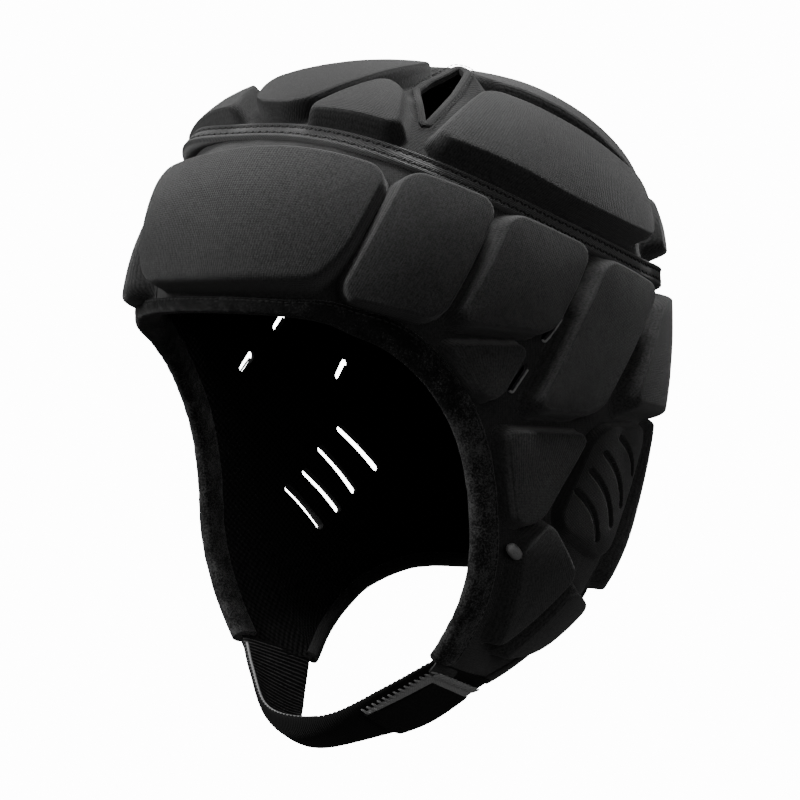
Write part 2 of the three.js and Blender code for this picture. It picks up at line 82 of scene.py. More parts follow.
# Height of the crown seam over the depth of the head: constant, linear and square part. The slope turns a
# height above it into a distance.
SEAM = (30.8, -0.36, 0.0012)
SEAM_SLOPE = 0.9

# Angle and height of the points along the face edge and the hem, on the wearer's left.
FACE_EDGE = [
    (0, -2.5), (30, -4.5), (42, -9.5), (52, -15.5), (61.5, -27.5), (69, -45), (72.5, -66), (73, -90),
    (72.5, -110), (71, -129.5), (69.8, -136),
]
HEM_EDGE = [
    (90, -141), (98, -136.5), (108, -129.5), (118, -121.5), (128, -113.5), (144, -106.5), (162, -105.5),
    (180, -105.5),
]

# Pads on each side: corners front top, rear top, rear bottom, front bottom as angle and height,
# then the height and the radius of its foot's corners.
SIDE_PADS = {
    "temple_pad": ([(54, 44.5), (77.5, 33.5), (62, -7.5), (37.3, 2)], 9.0, 9.5),
    "side_pad": ([(79.5, 31.5), (97.3, 19), (88.5, -12.5), (64, -8)], 9.0, 9.5),
    "rear_side_pad": ([(100.5, 16.5), (122.5, 5.5), (98.5, -42.5), (83, -40)], 9.0, 9.5),
    "back_pad": ([(127, 3), (177, -2), (177, -45), (107.5, -41.5)], 9.0, 9.5),
    "temple_wedge": ([(63.5, -14.5), (84, -15.5), (76.5, -35), (72.5, -35)], 7.0, 7.0),
    "ear_wedge": ([(77.7, -45.5), (97.5, -48.5), (86, -80), (80, -80)], 7.0, 7.0),
    "cheek_pad_upper": ([(81.5, -88), (88.5, -78.5), (98, -98), (81.5, -124)], 7.0, 7.0),
    "cheek_pad_lower": ([(98.5, -102), (115, -110), (97.5, -126.5), (84.5, -128)], 6.0, 7.0),
    "nape_pad": ([(135, -44.5), (177, -44.5), (177, -95), (118.5, -106)], 5.5, 11.0),
    "crown_side_pad": ([(88, 71.5), (128, 42), (123.5, 21.2), (61, 54)], 9.0, 9.5),
    "crown_rear_pad": ([(134, 34.5), (177, 37), (177, 12), (128, 16.5)], 8.0, 9.5),
}
BROW_PAD = ([(-20.5, 44), (51, 43.5), (36, 4), (-19.5, 4)], 9.5, 10.0)
EAR_COVER = ([(101.5, -46.5), (129, -47), (112, -95.5), (90.5, -81)], 3.8, 10.5)
# Pads on the crown, with corners as plan places.
CROWN_WEDGE = ([(22, -66.3), (30.5, -35.5), (42.5, -34), (53.8, -48.2)], 8.0, 7.0)
CROWN_FRONT_PAD = ([(-3, -66), (18.5, -65.5), (18, 2.5), (-22, 0)], 8.0, 9.5)
CROWN_BACK_PAD = ([(-35.5, 8), (35.5, 8), (57, 65), (-57, 65)], 6.4, 9.5)
# Corners of the pads that differ on the wearer's right. The brow pad ends sooner there, so the pads beside it
# reach further forward, and the rear side pad and ear cover leave the slits and slots of that side free.
RIGHT_PADS = {
    "temple_pad": [(26.5, 29), (77.5, 33.5), (62, -7.5), (24.5, -0.5)],
    "rear_side_pad": [(106.5, 16.5), (122.5, 5.5), (99.5, -42.5), (88.8, -40)],
    "ear_cover": [(101.5, -47.5), (130, -49), (114.5, -98.5), (91.5, -85)],
    "crown_wedge": [(9, -67.5), (26.5, -41), (43, -35), (56, -50)],
}
# What is special about a pad: how far the middle of its top and bottom side is moved up and of its front and
# rear side along X, the width of its flank and of the lower one beside it, the finer border of its mesh, the
# lip where it is cut, and the shares of its height at its lowest and highest place.
PAD_SHAPES = {
    "crown_side_pad": {"bows": (-5.0, -7.5, 0.0, 0.0)},
    "crown_front_pad": {"bows": (0.0, 0.0, -6.5, 9.0)},
    "brow_pad": {"lower_flank": 2.1},
    "crown_wedge": {"lower_flank": 1.6},
    "back_pad": {"lower_flank": 1.8},
    "temple_wedge": {"flank": 3.0},
    "ear_wedge": {"flank": 3.0},
    "ear_cover": {"flank": 3.0, "fine_border": 60.0, "lip": (3.4, 0.8)},
    "temple_pad_r": {"flank": 7.0, "taper": (1.35, 0.45)},
}

# Foot of a pad beyond its foam, the width of its flank, its floor, the lift of its foot, the cloth over its
# foam, the doming of its top, and its unevenness as rows of height, size and start.
PAD_FLARE = 2.2
PAD_FLANK = 4.0
PAD_FLOOR = -0.3
PAD_FOOT = 0.12
PAD_COVER = 0.5
PAD_DOME = 0.8
PAD_DOME_REACH = 14.0
PAD_SWAYS = [(0.12, 41.0, 1.0), (0.03, 9.0, 2.0)]
# Spacing of a pad's mesh: its margin outside the foot, the fine and the coarse step and the finer border.
PAD_MARGIN = 1.2
FINE_STEP = 0.5
COARSE_STEP = 1.7
FINE_BORDER = 7.5
# Shape of a pad's flank: how far out the hollow foot and the round shoulder pull its curve.
FOOT_PULL = 0.36
SHOULDER_PULL = 0.50

# Slit vents and ear slots as upper and lower end, each an angle and a height, on the left (1) and right (-1).
SLITS = {
    1: [((96.2, 7.5), (93.6, 0)), ((92.4, -5.5), (89.6, -13)), ((85.5, -23.5), (82, -31)),
        ((110, -24.5), (107.8, -32))],
    -1: [((96, 6.5), (94.2, 1.5)), ((94.1, -6), (92.4, -10.8)), ((87.5, -21.8), (85.3, -26.8)),
         ((109.9, -25.8), (108.5, -30.6))],
}
EAR_SLOTS = {
    1: [((95.5, -69), (104.5, -87)), ((99.8, -62), (110.5, -82.5)), ((104.5, -56), (115, -75.5)),
        ((110.5, -50.5), (120, -64))],
    -1: [((96, -75), (107.5, -91)), ((101, -69), (113, -84.5)), ((105, -60), (117, -77)),
         ((110, -52), (122.5, -68))],
}
# Radius and lift of a slit's pale edge, and how far it turns round the lower end, in degrees.
SLIT_RIM = 0.42
SLIT_RIM_LIFT = 0.7
SLIT_RIM_TURN = 110.0
# The cheek tab's ends as angle and height, its radius and lift.
TAB = [(79.2, -86.8), (82.4, -91.2)]
TAB_RADIUS = 2.2
TAB_LIFT = 4.2
# Half width of a slit, half width of an ear slot and how far the slot's middle is moved to the rear.
SLIT_HALF_WIDTH = {1: 1.3, -1: 1.8}
EAR_SLOT_SIZES = {1: (1.1, 1.5), -1: (1.6, 0.2)}
# Height of the pad cloth where a slot or slit cuts it, how far from the cut it reaches its full height, and
# how far above the pad that rise would end.
LIP = (1.6, 1.6)
LIP_OVER = 2.0
# Stands for the distance from a cut where there is none.
NO_CUT = 99.0
# Corners of a crown vent as plan places, and their radius.
CROWN_VENT = [(51.5, -35.5), (42.5, -13.5), (34, 1), (29.5, 1.5), (30, -12), (33, -21)]
VENT_RADIUS = 1.3
# The cloth stands up round a vent: by how much, how far round it, and over which depth of the head it grows.
VENT_RISE = 8.5
VENT_RISE_REACH = 8.0
VENT_RISE_SPAN = (-30.0, 2.0)

# Sections of the bindings, the tape and the vent fold, as places across the line and lifts.
FACE_SECTION = [
    (8.6, -0.2), (8.2, 1.3), (6.0, 2.3), (2.5, 2.5), (-0.6, 1.9), (-2.2, 0.4), (-2.5, -1.4), (-1.6, -3.1),
    (1.0, -3.9), (4.5, -4.0), (7.6, -3.6), (8.4, -2.2),
]
HEM_SECTION = [
    (4.2, -0.2), (3.8, 0.7), (2.0, 1.1), (0.0, 1.1), (-1.1, 0.4), (-1.5, -0.9), (-1.1, -2.2), (0.2, -2.9),
    (2.2, -2.9), (3.8, -2.5), (4.2, -1.6),
]
TAPE_SECTION = [
    (3.2, -0.4), (3.1, 0.9), (2.6, 1.8), (1.9, 1.8), (1.4, 1.1), (0.8, 1.3), (-0.3, 1.5), (-1.4, 1.4),
    (-2.0, 1.0), (-2.6, 1.4), (-3.6, 1.5), (-4.2, 0.8), (-4.3, -0.4), (-0.5, -0.8),
]
VENT_SECTION = [
    (2.0, -0.2), (1.9, 0.7), (1.2, 1.2), (0.1, 1.2), (-0.7, 0.6), (-0.8, -0.6), (-0.4, -1.9), (0.9, -2.1),
    (1.8, -1.3),
]
# Where the tape and the face binding stand further out: angle, reach and height of each swell.
TAPE_SWELLS = [(-35, 16, 4.5), (149, 12, 4.0)]
FACE_SWELLS = [(-36, 11, 4.0)]
# Width of the face binding over the brow beside its width elsewhere, and the angles between which it grows.
BROW_WIDTH = 0.55
BROW_WIDTH_SPAN = (22.0, 44.0)
# Height where the binding ends at the strap.
BINDING_END = -130.0
# Height below which the face edge runs down beside the cheek, and the unevenness of its velour as height,
# size and start.
BROW_FLOOR = -30.0
VELOUR_SWAY = (0.18, 7.0, 4.0)
# Spacing of the points along the face edge, the hem, the crown seam and a vent.
FACE_STEP = 1.2
HEM_STEP = 1.4
SEAM_STEP = 1.2
VENT_STEP = 0.8
# Rows of stitches: their places across the line, lift, pitch, the size of a stitch and its slant.
FACE_STITCHES = ((5.2, 6.9), 2.1, 2.6, (2.1, 0.55, 0.5), 0.0)
TAPE_STITCHES = ((1.3, -2.0), 1.3, 1.9, (2.0, 0.8, 0.6), 0.8)
VENT_STITCHES = ((2.4,), 1.5, 2.0, (1.6, 0.45, 0.4), 0.0)
# A place inside the head, towards which the bindings lie.
HEAD_MIDDLE = np.array([0.0, 0.0, 20.0])

# Chin strap: front and rear edge at matching places from the left end to the middle.
STRAP_FRONT = [(50.5, -33.5, -132), (37.5, -41.5, -140.5), (19, -51, -151), (0, -54, -153.5)]
STRAP_REAR = [(47, -3, -142.6), (34.5, -17, -155), (17.5, -32.5, -161), (0, -37, -164.5)]
STRAP_THICK = 2.6
STRAP_WIDTH = 30.0
STRAP_CUP = 4.4
STRAP_OVERLAP = 5.0
STRAP_MESH = (640, 19)
# Pitch and height of the ribs on its inner face.
STRAP_RIB = 2.1
STRAP_RIB_HEIGHT = 0.3
# Piping at its front edge: its stretch along the strap, its place across it, its lift and radius.
PIPING_SPAN = (0.4, 1.0)
PIPING_PLACE = 0.03
PIPING_LIFT = -1.0
PIPING_RADIUS = 0.55
# The patch at its left end, as shares of the strap: front and rear side, length, and border along and across.
PATCH_SIDES = (0.14, 0.95)
PATCH_LENGTH = 0.25
PATCH_BORDER = (0.036, 0.13)
# Lifts of the patch's plate and of its napped face at the rim and inside it, and the width of that rim.
PATCH_PLATE_LIFTS = (0.1, 0.9)
PATCH_FACE_LIFTS = (0.2, 1.4)
PATCH_RIM = 0.7
PATCH_MESH = (44, 26)
# How far the napped face runs out over the plate, along and across the strap.
PATCH_OVERHANG = (0.005, 0.01)
# Whip stitches along the patch's front side and along its end: how many on each, how far each row stops
# short, the size of a stitch, and its upper and lower end beside the patch's edge, along, across and lifted.
WHIP_COUNT = 14
WHIP_SHORT = (0.01, 0.05)
WHIP_SIZE = (4.2, 1.0, 0.9)
WHIP_FRONT = ((0.006, -0.08, 0.6), (0.0, 0.05, 0.6))
WHIP_END = ((-0.006, 0.02, 1.4), (0.018, -0.01, 1.0))
# Direction out of the strap at the patch, about.
WHIP_UP = (0.7, -0.3, -0.6)

# Camera: where the photograph was taken from, and how it is framed.
VIEW_AZIMUTH = 46.4
VIEW_ELEVATION = 2.1
VIEW_DISTANCE = 1300.0
VIEW_SHIFT = (1.14, -37.57)
LENS = 154.1

# Studio: the floor below the strap, the white dome round everything and the lights.
FLOOR_HEIGHT = -0.262
FLOOR_RADIUS = 0.4
DOME_RADIUS = 4.0
DOME_GLOW = 14.0
FLOOR_GLOW = 2.5
# Azimuth and elevation of each light, its distance and width in metres and its power in watts.
LIGHTS = {
    "key": (-28, 36, 1.6, 0.55, 38.0), "top": (150, 80, 1.5, 0.6, 50.0), "fill": (70, 12, 1.8, 0.9, 6.0),
}
WORLD_LIGHT = 0.12


def fall(rule, depth):
    start, span, power, amount = rule
    return amount * (np.maximum(depth - start, 0) / span) ** power


def half_sizes(z):
    depth = np.maximum(-z, 0)
    return HALF_WIDTH - fall(CHEEK_CURL, depth), FRONT - fall(FACE_TUCK, depth), BACK - fall(NAPE_TUCK, depth)


def signed_power(value, power):
    return np.sign(value) * np.abs(value) ** power


def form_point(angle, z):
    """Point of the form at an angle and a height."""
    angle, z = np.broadcast_arrays(np.asarray(angle, float), np.asarray(z, float))
    width, front, back = half_sizes(z)
    sine = np.sin(np.radians(angle))
    cosine = np.cos(np.radians(angle))
    rise = np.clip(z / HEIGHT, 0, 1)
    shrink = (1 - rise ** DOME_POWER) ** (1 / DOME_POWER)
    x = width * shrink * signed_power(sine, 2 / PLAN_POWER)
    y = -np.where(cosine > 0, front, back) * shrink * signed_power(cosine, 2 / PLAN_POWER)
    return np.stack([x, y, z], -1)


def form_value(points):
    """Zero on the form, positive outside it."""
    x, y, z = points[..., 0], points[..., 1], points[..., 2]
    width, front, back = half_sizes(z)
    plan = np.abs(x / width) ** PLAN_POWER + np.abs(y / np.where(y < 0, front, back)) ** PLAN_POWER
    return plan ** (DOME_POWER / PLAN_POWER) + (np.maximum(z, 0) / HEIGHT) ** DOME_POWER - 1


def form_gradient(points, step=0.02):
    parts = [form_value(points + step * axis) - form_value(points - step * axis) for axis in np.eye(3)]
    return np.stack(parts, -1) / (2 * step)


def unit(vectors):
    return vectors / np.linalg.norm(vectors, axis=-1, keepdims=True)


def form_normal(points):
    return unit(form_gradient(points))


def seat(points, lift=0.0):
    """Moves points onto the form, then off it along its normal."""
    points = np.array(points, float)
    for _ in range(6):
        gradient = form_gradient(points)
        step = form_value(points) / (gradient * gradient).sum(-1)
        points = points - gradient * step[..., None]
    lift = np.broadcast_to(np.asarray(lift, float), points.shape[:-1])
    return points + form_normal(points) * lift[..., None]


def plan_point(x, y):
    """Point of the dome above a plan place."""
    start = np.array([x, y, 0.0])
    plan = abs(x / HALF_WIDTH) ** PLAN_POWER + abs(y / (FRONT if y < 0 else BACK)) ** PLAN_POWER
    start[2] = HEIGHT * (1 - plan ** (DOME_POWER / PLAN_POWER)) ** (1 / DOME_POWER)
    return start


def seam_height(y):
    return SEAM[0] + SEAM[1] * y + SEAM[2] * y * y


def seam_gap(points):
    """Distance of points above the crown seam."""
    return (points[:, 2] - seam_height(points[:, 1])) * SEAM_SLOPE


def catmull(points, steps):
    """Smooth line through points, with a number of steps between each two."""
    points = np.asarray(points, float)
    points = np.vstack([2 * points[0] - points[1], points, 2 * points[-1] - points[-2]])
    share = np.linspace(0, 1, steps, endpoint=False)[:, None]
    parts = []
    for before, start, end, after in zip(points[:-3], points[1:-2], points[2:-1], points[3:]):
        square = 2 * before - 5 * start + 4 * end - after
        cube = -before + 3 * start - 3 * end + after
        parts.append(0.5 * (2 * start + (end - before) * share + square * share ** 2 + cube * share ** 3))
    return np.vstack(parts + [points[-2:-1]])


def arc_lengths(line):
    return np.concatenate([[0], np.cumsum(np.linalg.norm(np.diff(line, axis=0), axis=1))])


def along_line(line, places, lengths):
    """Points of a line at places along it."""
    return np.stack([np.interp(places, lengths, line[:, axis]) for axis in range(line.shape[1])], -1)


def even_line(line, step):
    """The same line with its points a step apart."""
    lengths = arc_lengths(line)
    places = np.linspace(0, lengths[-1], max(2, int(round(lengths[-1] / step)) + 1))
    return along_line(line, places, lengths)


def even_ring(line, step):
    """A closed line with its points a step apart."""
    return even_line(np.vstack([line, line[:1]]), step)[:-1]


def mirrored_rows(rows):
    return [(-angle, z) for angle, z in rows[:0:-1]] + list(rows)


def edge_line(rows, step):
    """Line on the form through rows of angle and height."""
    smooth = catmull(rows, 24)
    return even_line(form_point(smooth[:, 0], smooth[:, 1]), step)


def line_distance(points, line):
    """Shortest distance from each point to a line of straight pieces."""
    best = np.full(len(points), np.inf)
    for start, end in zip(line[:-1], line[1:]):
        along = end - start
        share = np.clip((points - start) @ along / max(along @ along, 1e-9), 0, 1)
        gap = points - start - share[:, None] * along
        best = np.minimum(best, (gap * gap).sum(1))
    return np.sqrt(best)


def in_polygon(x, y, corners):
    inside = np.zeros(x.shape, bool)
    for (x0, y0), (x1, y1) in zip(corners, corners[1:] + corners[:1]):
        crosses = (y0 > y) != (y1 > y)
        if y0 != y1:
            inside ^= crosses & (x < (x1 - x0) * (y - y0) / (y1 - y0) + x0)
    return inside


def ripple(points, size, seed=0.0):
    """Soft random waves between about -1 and 1, of a given size."""
    total = np.zeros(points.shape[:-1])
    for turn in range(5):
        angle = 2.4 * turn + seed
        direction = np.array([math.cos(angle), math.sin(angle), math.cos(1.7 * angle + 1.0)])
        total = total + np.sin(points @ direction * (2 * math.pi / size) * (0.8 + 0.13 * turn) + 3.1 * angle)
    return total / 3


def cut_channels(first, last, mask, channels_first, channels_last):
    share = np.clip(first[mask] / (first[mask] - last[mask]), 0.03, 0.97)[:, None]
    return channels_first[mask] * (1 - share) + channels_last[mask] * share


def clipped_grid(channels, field, wrap=False):
    """The part of a grid where the field is above zero, as its points' channels and its faces."""
    inside = field > 0
    own = inside.copy()
    across = inside[:, :-1] != inside[:, 1:]
    down = inside[:-1] != inside[1:]
    own_down = down.copy()
    if wrap:
        own[:, -1] = False
        own_down[:, -1] = False
    points = [
        channels[own],
        cut_channels(field[:, :-1], field[:, 1:], across, channels[:, :-1], channels[:, 1:]),
        cut_channels(field[:-1], field[1:], own_down, channels[:-1], channels[1:]),
    ]
    starts = np.cumsum([0] + [len(part) for part in points])
    indices = []
    for mask, start in zip((own, across, own_down), starts):
        index = np.full(mask.shape, -1)
        index[mask] = start + np.arange(mask.sum())
        indices.append(index)
    node, flat, upright = indices
    if wrap:
        node[:, -1] = node[:, 0]
        upright[:, -1] = upright[:, 0]
    corners = [inside[:-1, :-1], inside[:-1, 1:], inside[1:, 1:], inside[1:, :-1]]
    whole = corners[0] & corners[1] & corners[2] & corners[3]
    part = (corners[0] | corners[1] | corners[2] | corners[3]) & ~whole
    j, i = np.nonzero(whole)
    faces = np.stack([node[j, i], node[j, i + 1], node[j + 1, i + 1], node[j + 1, i]], 1).tolist()
    for j, i in zip(*np.nonzero(part)):
        ring = [
            node[j, i], flat[j, i], node[j, i + 1], upright[j, i + 1],
            node[j + 1, i + 1], flat[j + 1, i], node[j + 1, i], upright[j, i],
        ]
        face = [int(k) for k in ring if k >= 0]
        if len(face) > 2:
            faces.append(face)
    return np.vstack(points), faces


def grid_faces(rows, columns, closed=False):
    """Faces of a whole grid of points, closed round its columns or open."""
    faces = []
    for j in range(rows - 1):
        for i in range(columns if closed else columns - 1):
            k = (i + 1) % columns
            faces.append([j * columns + i, j * columns + k, (j + 1) * columns + k, (j + 1) * columns + i])
    return faces


def signed_volume(points, faces):
    total = 0.0
    for size in {len(face) for face in faces}:
        group = np.array([face for face in faces if len(face) == size])
        for k in range(1, size - 1):
            cross = np.cross(points[group[:, k]], points[group[:, k + 1]])
            total += (points[group[:, 0]] * cross).sum()
    return total


class Body:
    """A closed mesh: its points, faces, the kind of each face and the cloth place of each point."""

    def __init__(self, points, faces, kinds, cloth):
        self.points = np.asarray(points, float)
        self.kinds = list(kinds)
        self.cloth = np.asarray(cloth, float)
        turned = signed_volume(self.points, faces) < 0
        self.faces = [list(reversed(face)) if turned else list(face) for face in faces]


def closed_body(outer, inner, faces, cloth):
    """Solid between two copies of an open surface: kind 0 outside, 1 inside, 2 round its free edges."""
    count = len(outer)
    edges = {(a, b) for face in faces for a, b in zip(face, face[1:] + face[:1])}
    walls = [[b, a, a + count, b + count] for a, b in edges if (b, a) not in edges]
    walls.sort()
    back = [[k + count for k in reversed(face)] for face in faces]
    kinds = [0] * len(faces) + [1] * len(faces) + [2] * len(walls)
    return Body(np.vstack([outer, inner]), faces + back + walls, kinds, np.vstack([cloth, cloth]))


def tube_body(rings, closed=False):
    """Solid from rings of points, open ends capped."""
    count, size, _ = rings.shape
    points = rings.reshape(-1, 3)
    faces = grid_faces(count, size, closed=True)
    if closed:
        faces += [[(count - 1) * size + i, (count - 1) * size + (i + 1) % size, (i + 1) % size, i]
                  for i in range(size)]
    else:
        faces += [list(range(size - 1, -1, -1)), list(range((count - 1) * size, count * size))]
    along = arc_lengths(rings[:, 0])
    around = arc_lengths(rings[0])
    cloth = np.stack(np.meshgrid(around, along), -1).reshape(-1, 2)
    return Body(points, faces, [0] * len(faces), cloth)


def joined(bodies):
    start = 0
    faces = []
    for body in bodies:
        faces += [[k + start for k in face] for face in body.faces]
        start += len(body.points)
    points = np.vstack([body.points for body in bodies])
    cloth = np.vstack([body.cloth for body in bodies])
    result = Body(points, faces, sum((body.kinds for body in bodies), []), cloth)
    result.faces = faces
    return result


def make_piece(name, body, materials, nodes=()):
    """Blender object of a body, riding on the part."""
    mesh = bpy.data.meshes.new(name)
    mesh.from_pydata((body.points * MM).tolist(), [], body.faces)
    for material in materials:
        mesh.materials.append(material)
    mesh.polygons.foreach_set("material_index", body.kinds)
    mesh.polygons.foreach_set("use_smooth", [True] * len(body.faces))
    mesh.set_sharp_from_angle(angle=math.radians(SHARP_ANGLE))
    cloth = mesh.attributes.new("cloth", "FLOAT_VECTOR", "POINT")
    cloth.data.foreach_set("vector", np.pad(body.cloth, ((0, 0), (0, 1))).ravel())
    mesh.validate()
    piece = bpy.data.objects.new(name, mesh)
    guard.objects.link(piece)
    if nodes:
        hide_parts(*nodes)
    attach(piece, "root")


class Shader:
    """A material's node tree, with a short way to add nodes."""

    def __init__(self, name, **settings):
        self.material = bpy.data.materials.new(name)
        self.material.use_nodes = True
        self.tree = self.material.node_tree
        self.surface = self.tree.nodes["Principled BSDF"]
        for socket, value in settings.items():
            self.surface.inputs[socket.replace("_", " ")].default_value = value
        self.place = self.add("ShaderNodeTexCoord").outputs["Object"]

    def add(self, kind, inputs=None, **settings):
        node = self.tree.nodes.new(kind)
        for key, value in settings.items():
            setattr(node, key, value)
        for socket, value in (inputs or {}).items():
            self.feed(node.inputs[socket], value)
        return node

    def feed(self, socket, value):
        if isinstance(value, bpy.types.NodeSocket):
            self.tree.links.new(value, socket)
        else:
            socket.default_value = value

    def math(self, operation, first, second=0.0):
        return self.add("ShaderNodeMath", {0: first, 1: second}, operation=operation).outputs[0]

    def noise(self, size, detail=3.0, rough=0.6):
        """Noise with grains of a size in millimetres."""
        inputs = {"Vector": self.place, "Scale": 1 / (size * MM), "Detail": detail, "Roughness": rough}
        return self.add("ShaderNodeTexNoise", inputs).outputs["Fac"]

    def cloth(self):
        """The place along and across the cloth, in millimetres."""
        source = self.add("ShaderNodeAttribute", attribute_name="cloth").outputs["Vector"]
        split = self.add("ShaderNodeSeparateXYZ", {0: source})
        return split.outputs[0], split.outputs[1]

    def wave(self, place, pitch):
        turn = self.math("MULTIPLY", place, 2 * math.pi / pitch)
        return self.math("SINE", turn)

    def blend(self, amounts):
        """Sum of values, each times its share."""
        total = 0.0
        for value, share in amounts:
            total = self.math("ADD", self.math("MULTIPLY", value, share), total)
        return total

    def colour(self, factor, stops):
        """Grey levels at places of a factor."""
        ramp = self.add("ShaderNodeValToRGB", {0: factor})
        bands = ramp.color_ramp.elements
        while len(bands) < len(stops):
            bands.new(0.5)
        for band, (place, level) in zip(bands, stops):
            band.position = place
            band.color = (level, level, level, 1)
        self.feed(self.surface.inputs["Base Color"], ramp.outputs[0])

    def rough(self, factor, low, high):
        inputs = {"Value": factor, "To Min": low, "To Max": high}
        value = self.add("ShaderNodeMapRange", inputs).outputs[0]
        self.feed(self.surface.inputs["Roughness"], value)

    def bump(self, height, depth, strength=1.0):
        inputs = {"Height": height, "Distance": depth * MM, "Strength": strength}
        self.feed(self.surface.inputs["Normal"], self.add("ShaderNodeBump", inputs).outputs[0])

    def finish(self, tone, stops, grain, rough, relief, depth, strength=1.0):
        """Grey levels over the tone, roughness over the grain and bumps from the relief."""
        self.colour(tone, stops)
        self.rough(grain, *rough)
        self.bump(relief, depth, strength)
        return self.material


def knit_material(name, dark, light):
    """Ribbed stretch knit: fine upright ribs, rows of loops and a little fuzz."""
    shader = Shader(name, Sheen_Weight=0.12, Sheen_Roughness=0.5, Specular_IOR_Level=0.2)
    u, v = shader.cloth()
    stray = shader.math("MULTIPLY", shader.noise(2.5, 2.0), 0.5)
    ribs = shader.math("ABSOLUTE", shader.wave(shader.math("ADD", u, stray), 1.6))
    loops = shader.wave(shader.math("ADD", v, shader.math("MULTIPLY", ribs, 0.35)), 0.65)
    fuzz = shader.noise(0.85, 3.0, 0.7)
    patches = shader.noise(9.0, 2.0)
    tone = shader.blend([(ribs, 0.10), (fuzz, 1.0), (patches, 0.12), (loops, 0.03)])
    stops = [(0.46, dark), (0.61, 0.5 * (dark + light)), (0.76, light)]
    relief = shader.blend([(ribs, 0.35), (loops, 0.1), (fuzz, 0.9)])
    return shader.finish(tone, stops, fuzz, (0.72, 0.95), relief, 0.35, 0.8)


def lining_material():
    """Open mesh lining: rows of small holes in dark cloth."""
    shader = Shader("lining_mesh", Specular_IOR_Level=0.1, Sheen_Weight=0.02)
    u, v = shader.cloth()
    holes = shader.math("MULTIPLY", shader.wave(u, 3.2), shader.wave(v, 2.6))
    fuzz = shader.noise(0.6, 3.0)
    tone = shader.blend([(holes, 0.35), (fuzz, 0.5), (0.5, 0.5)])
    relief = shader.blend([(holes, 0.6), (fuzz, 0.3)])
    return shader.finish(tone, [(0.2, 0.002), (0.8, 0.014)], fuzz, (0.8, 0.97), relief, 0.5)


def foam_material():
    """Cut edge of the foam-backed cloth, a little paler than its face."""
    shader = Shader("cut_edge", Specular_IOR_Level=0.2)
    cells = shader.noise(0.35, 3.0)
    return shader.finish(cells, [(0.3, 0.02), (0.7, 0.09)], cells, (0.85, 1.0), cells, 0.2)


def velour_material():
    """Short pile: fine fuzz in brushed patches, with painted shade: darker over the brow than beside the
    cheeks.
    """
    shader = Shader("binding_velour", Sheen_Weight=0.12, Sheen_Roughness=0.35, Specular_IOR_Level=0.1)
    pile = shader.noise(0.7, 4.0, 0.75)
    brushed = shader.noise(7.0, 2.0)
    # Painted shade: the tone falls with height, darker over the brow where the brow pad shades the binding,
    # paler beside the cheeks.
    height = shader.add("ShaderNodeSeparateXYZ", {0: shader.place}).outputs[2]
    inputs = {"Value": height, "From Min": -0.045, "From Max": -0.008, "To Min": 0.06, "To Max": -0.07}
    painted_brow_shade = shader.add("ShaderNodeMapRange", inputs).outputs[0]
    tone = shader.blend([(pile, 0.8), (brushed, 0.3), (painted_brow_shade, 1.0)])
    relief = shader.blend([(pile, 0.8), (brushed, 0.5)])
    return shader.finish(tone, [(0.44, 0.001), (0.56, 0.006), (0.72, 0.06)], pile, (0.85, 1.0), relief, 0.6)


def tape_material():
    """Woven tape with a close diagonal weave."""
    shader = Shader("seam_tape", Sheen_Weight=0.15, Specular_IOR_Level=0.3)
    u, v = shader.cloth()
    twill = shader.wave(shader.math("ADD", u, v), 0.9)
    fuzz = shader.noise(0.5, 3.0)
    tone = shader.blend([(twill, 0.15), (fuzz, 0.9)])
    relief = shader.blend([(twill, 0.5), (fuzz, 0.4)])
    return shader.finish(tone, [(0.3, 0.02), (0.7, 0.065)], fuzz, (0.6, 0.85), relief, 0.3)


def webbing_material():
    """Soft strap cloth with a fine cross rib."""
    shader = Shader("strap_webbing", Sheen_Weight=0.02, Specular_IOR_Level=0.12)
    ribs = shader.wave(shader.cloth()[1], 0.9)
    fuzz = shader.noise(0.5, 4.0)
    tone = shader.blend([(ribs, 0.12), (fuzz, 0.9)])
    relief = shader.blend([(ribs, 0.4), (fuzz, 0.5)])
    return shader.finish(tone, [(0.3, 0.002), (0.7, 0.005), (0.9, 0.010)], fuzz, (0.7, 0.92), relief, 0.3)


def ribbed_material():
    """Inner face of the strap: pale cross ribs in dark cloth."""
    shader = Shader("strap_ribs", Sheen_Weight=0.05, Specular_IOR_Level=0.15)
    ribs = shader.wave(shader.cloth()[1], STRAP_RIB)
    fuzz = shader.noise(0.5, 3.0)
    tone = shader.blend([(ribs, 0.3), (fuzz, 0.5), (0.25, 1.0)])
    relief = shader.blend([(ribs, 0.4), (fuzz, 0.3)])
    return shader.finish(tone, [(0.35, 0.002), (0.62, 0.012), (0.8, 0.11)], fuzz, (0.7, 0.9), relief, 0.4)


def border_material():
    """Pale grey woven border of the patch."""
    shader = Shader("patch_border", Sheen_Weight=0.2, Specular_IOR_Level=0.3)
    u, v = shader.cloth()
    weave = shader.math("MULTIPLY", shader.wave(u, 0.9), shader.wave(v, 0.9))
    fuzz = shader.noise(0.6, 3.0)
    tone = shader.blend([(weave, 0.2), (fuzz, 0.8)])
    relief = shader.blend([(weave, 0.5), (fuzz, 0.4)])
    return shader.finish(tone, [(0.2, 0.14), (0.75, 0.34)], fuzz, (0.6, 0.85), relief, 0.25)


def hook_material():
    """Napped loop cloth in the middle of the patch."""
    shader = Shader("patch_loops", Sheen_Weight=0.03, Specular_IOR_Level=0.1)
    loops = shader.noise(0.7, 5.0, 0.8)
    return shader.finish(loops, [(0.35, 0.001), (0.7, 0.006)], loops, (0.8, 1.0), loops, 0.8)


def thread_material(name, dark, light):
    """Twisted sewing thread."""
    shader = Shader(name, Sheen_Weight=0.1, Specular_IOR_Level=0.15)
    twist = shader.noise(0.3, 2.0)
    return shader.finish(twist, [(0.3, dark), (0.7, light)], twist, (0.45, 0.7), twist, 0.1)


